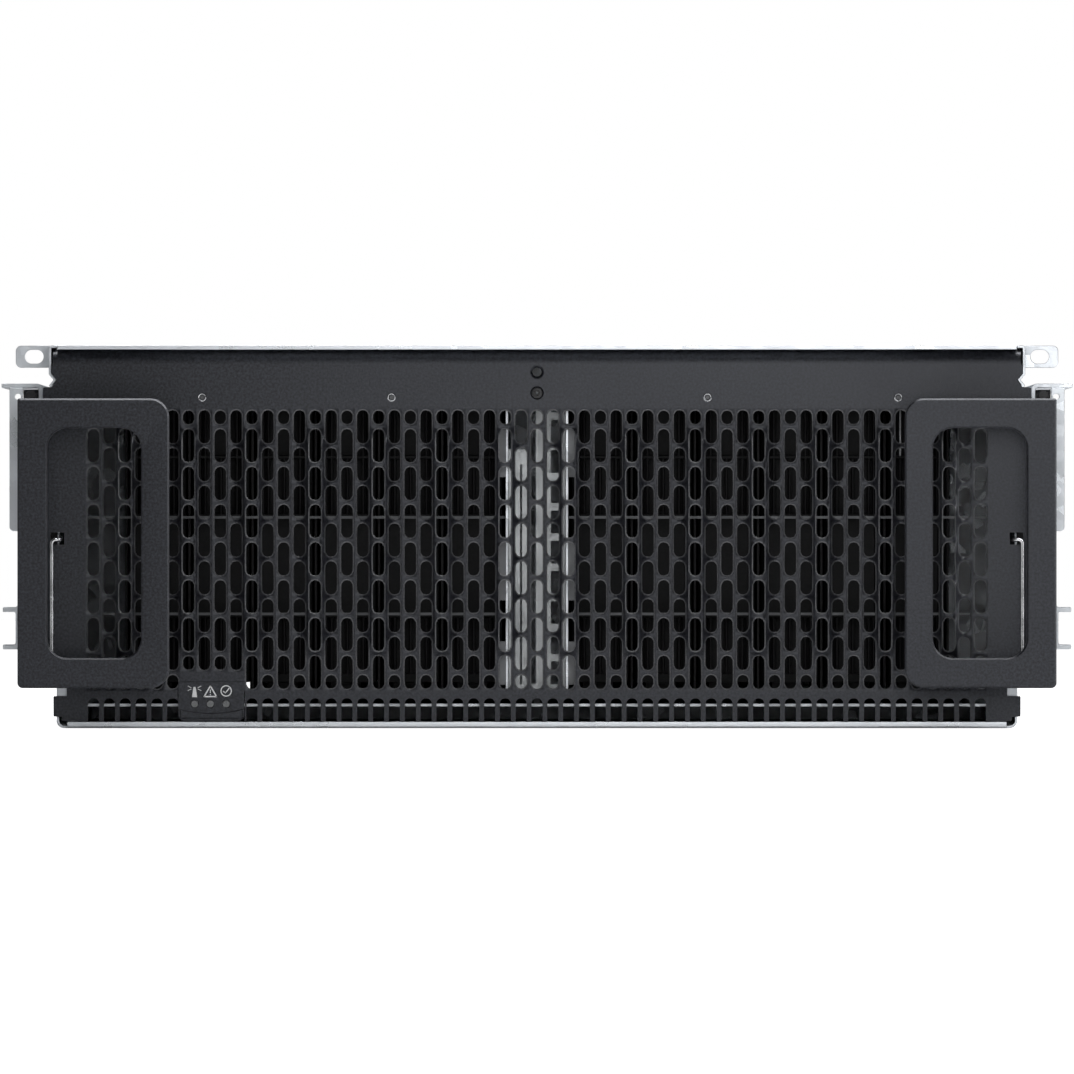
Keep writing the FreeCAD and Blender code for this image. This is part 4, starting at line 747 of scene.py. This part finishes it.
def bezel_border():
    """The solid bezel outside its perforated field, split off along the field's four sides."""
    under_top = ((0, 0, FIELD_TOP), (0, 0, -1))
    over_low = ((0, 0, FIELD_LOW), (0, 0, 1))
    planes_of = {"top": [((0, 0, FIELD_TOP), (0, 0, 1)), ((0, 0, BEND_FOOT), (0, 0, -1))],
                 "low": [((0, 0, FIELD_LOW), (0, 0, -1))],
                 "left": [((-FIELD_HALF, 0, 0), (-1, 0, 0)), under_top, over_low],
                 "right": [((FIELD_HALF, 0, 0), (1, 0, 0)), under_top, over_low]}
    kept = [rolled_edge()]
    solid = joined("front_bezel")
    for side, planes in planes_of.items():
        built = solid.copy()
        for point, normal in planes:
            everything = built.verts[:] + built.edges[:] + built.faces[:]
            bmesh.ops.bisect_plane(built, geom=everything, plane_co=point, plane_no=normal, clear_inner=True)
        name = "border_" + side
        kept.append(shown(name, plain_mesh(name, flattened(built))))
    solid.free()
    return kept


def bezel():
    """Field and border in one piece, with the rims of the slots in a lighter finish that is a painted
    highlight.
    """
    slot_cell = tile("slot_cell", CELL_HIGH, SLOT_LONG, 6, 4)
    oval_cell = tile("oval_cell", CELL_HIGH / 2, OVAL_LONG, 3, 4)
    blank_cell = blank_tile("blank_cell", BLANK_HIGH, 3, 4)
    piece = field_points()
    laid = piece.modifiers.new("field", "NODES")
    laid.node_group = field_tree()
    set_inputs(laid, {"Slot cell": slot_cell, "Oval cell": oval_cell, "Blank cell": blank_cell,
                      "Material": BEZEL_COAT, "Rim highlight material": BEZEL_RIM_HIGHLIGHT})
    settled(piece)
    for cell in (slot_cell, oval_cell, blank_cell):
        bpy.data.objects.remove(cell)
    whole = bmesh.new()
    whole.from_mesh(piece.data)
    # Rim faces keep the lighter finish: a painted highlight.
    highlighted = list(piece.data.materials).index(BEZEL_RIM_HIGHLIGHT)
    for face in whole.faces:
        face.material_index = 1 if face.material_index == highlighted else 0
    for part in bezel_border():
        for face in part.data.polygons:
            face.material_index = 0
        whole.from_mesh(part.data)
        bpy.data.objects.remove(part)
    bpy.data.objects.remove(piece)
    mesh = plain_mesh("bezel", whole)
    for material in (BEZEL_COAT, BEZEL_RIM_HIGHLIGHT):
        mesh.materials.append(material)
    stands_for(evened(shown("bezel", mesh), SHARP_PAST_BEZEL), "front_bezel", BEZEL_COAT, BEZEL_RIM_HIGHLIGHT)


# Printed symbols over the three lights

def printed_symbols():
    """Beacon, warning triangle and tick, drawn as thin printed outlines."""
    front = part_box("status_panel")[0].y + PANEL_STEP
    built = bmesh.new()

    def outline(points):
        depths = (front - PRINT_PROUD, front + PRINT_SUNK)
        prism(built, [[built.verts.new((x * MM, y, z * MM)) for x, z in points] for y in depths])

    def stroke(start, end, wide):
        run = (Vector(end) - Vector(start)).normalized() * wide / 2
        side = Vector((-run.y, run.x))
        a, b = Vector(start) - run, Vector(end) + run
        outline([tuple(a - side), tuple(b - side), tuple(b + side), tuple(a + side)])

    def arc(middle, radius, first, last, wide, steps):
        for k in range(steps):
            one = math.radians(first + (last - first) * k / steps)
            two = math.radians(first + (last - first) * (k + 1) / steps)
            near, far = radius - wide / 2, radius + wide / 2
            points = [(near, one), (far, one), (far, two), (near, two)]
            outline([(middle[0] + r * math.cos(a), middle[1] + r * math.sin(a)) for r, a in points])

    outline([(BEACON_X - 1.2, 14.3), (BEACON_X + 1.2, 14.3), (BEACON_X + 0.7, 18.0), (BEACON_X + 0.45, 19.1),
             (BEACON_X - 0.45, 19.1), (BEACON_X - 0.7, 18.0)])
    for side in (-1, 1):
        for tilt in (-1, 1):
            inner = (BEACON_X + side * 1.6, 18.4 + tilt * 0.35)
            stroke(inner, (BEACON_X + side * 3.0, 18.4 + tilt), 0.28)
    corners = [(WARNING_X, 19.5), (WARNING_X - 2.85, 14.6), (WARNING_X + 2.85, 14.6)]
    for k in range(3):
        stroke(corners[k], corners[(k + 1) % 3], 0.62)
    stroke((WARNING_X, 17.6), (WARNING_X, 16.4), 0.42)
    stroke((WARNING_X, 15.5), (WARNING_X, 15.4), 0.42)
    arc((TICK_X, 17.2), 2.4, 0, 360, 0.5, 28)
    stroke((TICK_X - 1.2, 17.0), (TICK_X - 0.4, 16.2), 0.5)
    stroke((TICK_X - 0.4, 16.2), (TICK_X + 1.3, 18.3), 0.5)
    bmesh.ops.recalc_face_normals(built, faces=built.faces)
    piece = shown("status_symbols", plain_mesh("status_symbols", built))
    piece.data.materials.append(PRINT)
    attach(piece, "chassis")


# Stage, lights and camera

def stage():
    bpy.ops.mesh.primitive_plane_add(size=FLOOR_SIZE, location=(0, 0, FLOOR_Z))
    floor = bpy.context.object
    floor.name = "floor"
    pale = bpy.data.materials.new("pale_floor")
    pale.use_nodes = True
    tree = pale.node_tree
    shader = tree.nodes["Principled BSDF"]
    shader.inputs["Base Color"].default_value = (0.85, 0.85, 0.85, 1)
    shader.inputs["Roughness"].default_value = 0.9
    glow = add_node(tree, "ShaderNodeEmission", {"Color": (1, 1, 1, 1), "Strength": 1.0}).outputs[0]
    lifted = add_node(tree, "ShaderNodeAddShader", {0: shader.outputs[0], 1: glow}).outputs[0]
    seen = add_node(tree, "ShaderNodeLightPath").outputs["Is Camera Ray"]
    mixed = add_node(tree, "ShaderNodeMixShader", {0: seen, 1: shader.outputs[0], 2: lifted}).outputs[0]
    tree.links.new(mixed, tree.nodes["Material Output"].inputs["Surface"])
    floor.data.materials.append(pale)


def softbox(name, place, target, wide, high, radiance):
    """Large even light, given by how bright its face looks."""
    data = bpy.data.lights.new(name, "AREA")
    data.shape = "RECTANGLE"
    data.size = wide
    data.size_y = high
    data.energy = radiance * math.pi * wide * high
    lamp = bpy.data.objects.new(name, data)
    lamp.visible_camera = False
    lamp.location = place
    lamp.rotation_euler = (Vector(target) - Vector(place)).to_track_quat("-Z", "Y").to_euler()
    bpy.context.scene.collection.objects.link(lamp)


def lights():
    world = bpy.data.worlds.new("studio")
    bpy.context.scene.world = world
    bpy.context.scene.view_settings.view_transform = "Standard"
    world.use_nodes = True
    tree = world.node_tree
    soft = tree.nodes["Background"]
    soft.inputs["Color"].default_value = (1, 1, 1, 1)
    soft.inputs["Strength"].default_value = 0.1
    bright = add_node(tree, "ShaderNodeBackground", {"Color": (1, 1, 1, 1), "Strength": 1.0})
    seen = add_node(tree, "ShaderNodeLightPath").outputs["Is Camera Ray"]
    mixed = add_node(tree, "ShaderNodeMixShader", {0: seen, 1: soft.outputs[0], 2: bright.outputs[0]})
    tree.links.new(mixed.outputs[0], tree.nodes["World Output"].inputs["Surface"])
    for name, (place, target, wide, high, radiance) in SOFTBOXES.items():
        softbox(name, place, target, wide, high, radiance)


def camera():
    data = bpy.data.cameras.new("view")
    data.sensor_fit = "HORIZONTAL"
    data.angle = 2 * math.atan(VIEW_WIDTH / 2 / VIEW_DISTANCE)
    view = bpy.data.objects.new("view", data)
    view.location = (0, EAR_PLANE_Y - VIEW_DISTANCE, VIEW_Z)
    view.rotation_euler = (math.radians(90), 0, 0)
    bpy.context.scene.collection.objects.link(view)
    bpy.context.scene.camera = view


dress_solids()
brighten_fins()
duct_edges()
divider_ends()
latch_brackets()
rivets()
bezel()
printed_symbols()
stage()
lights()
camera()
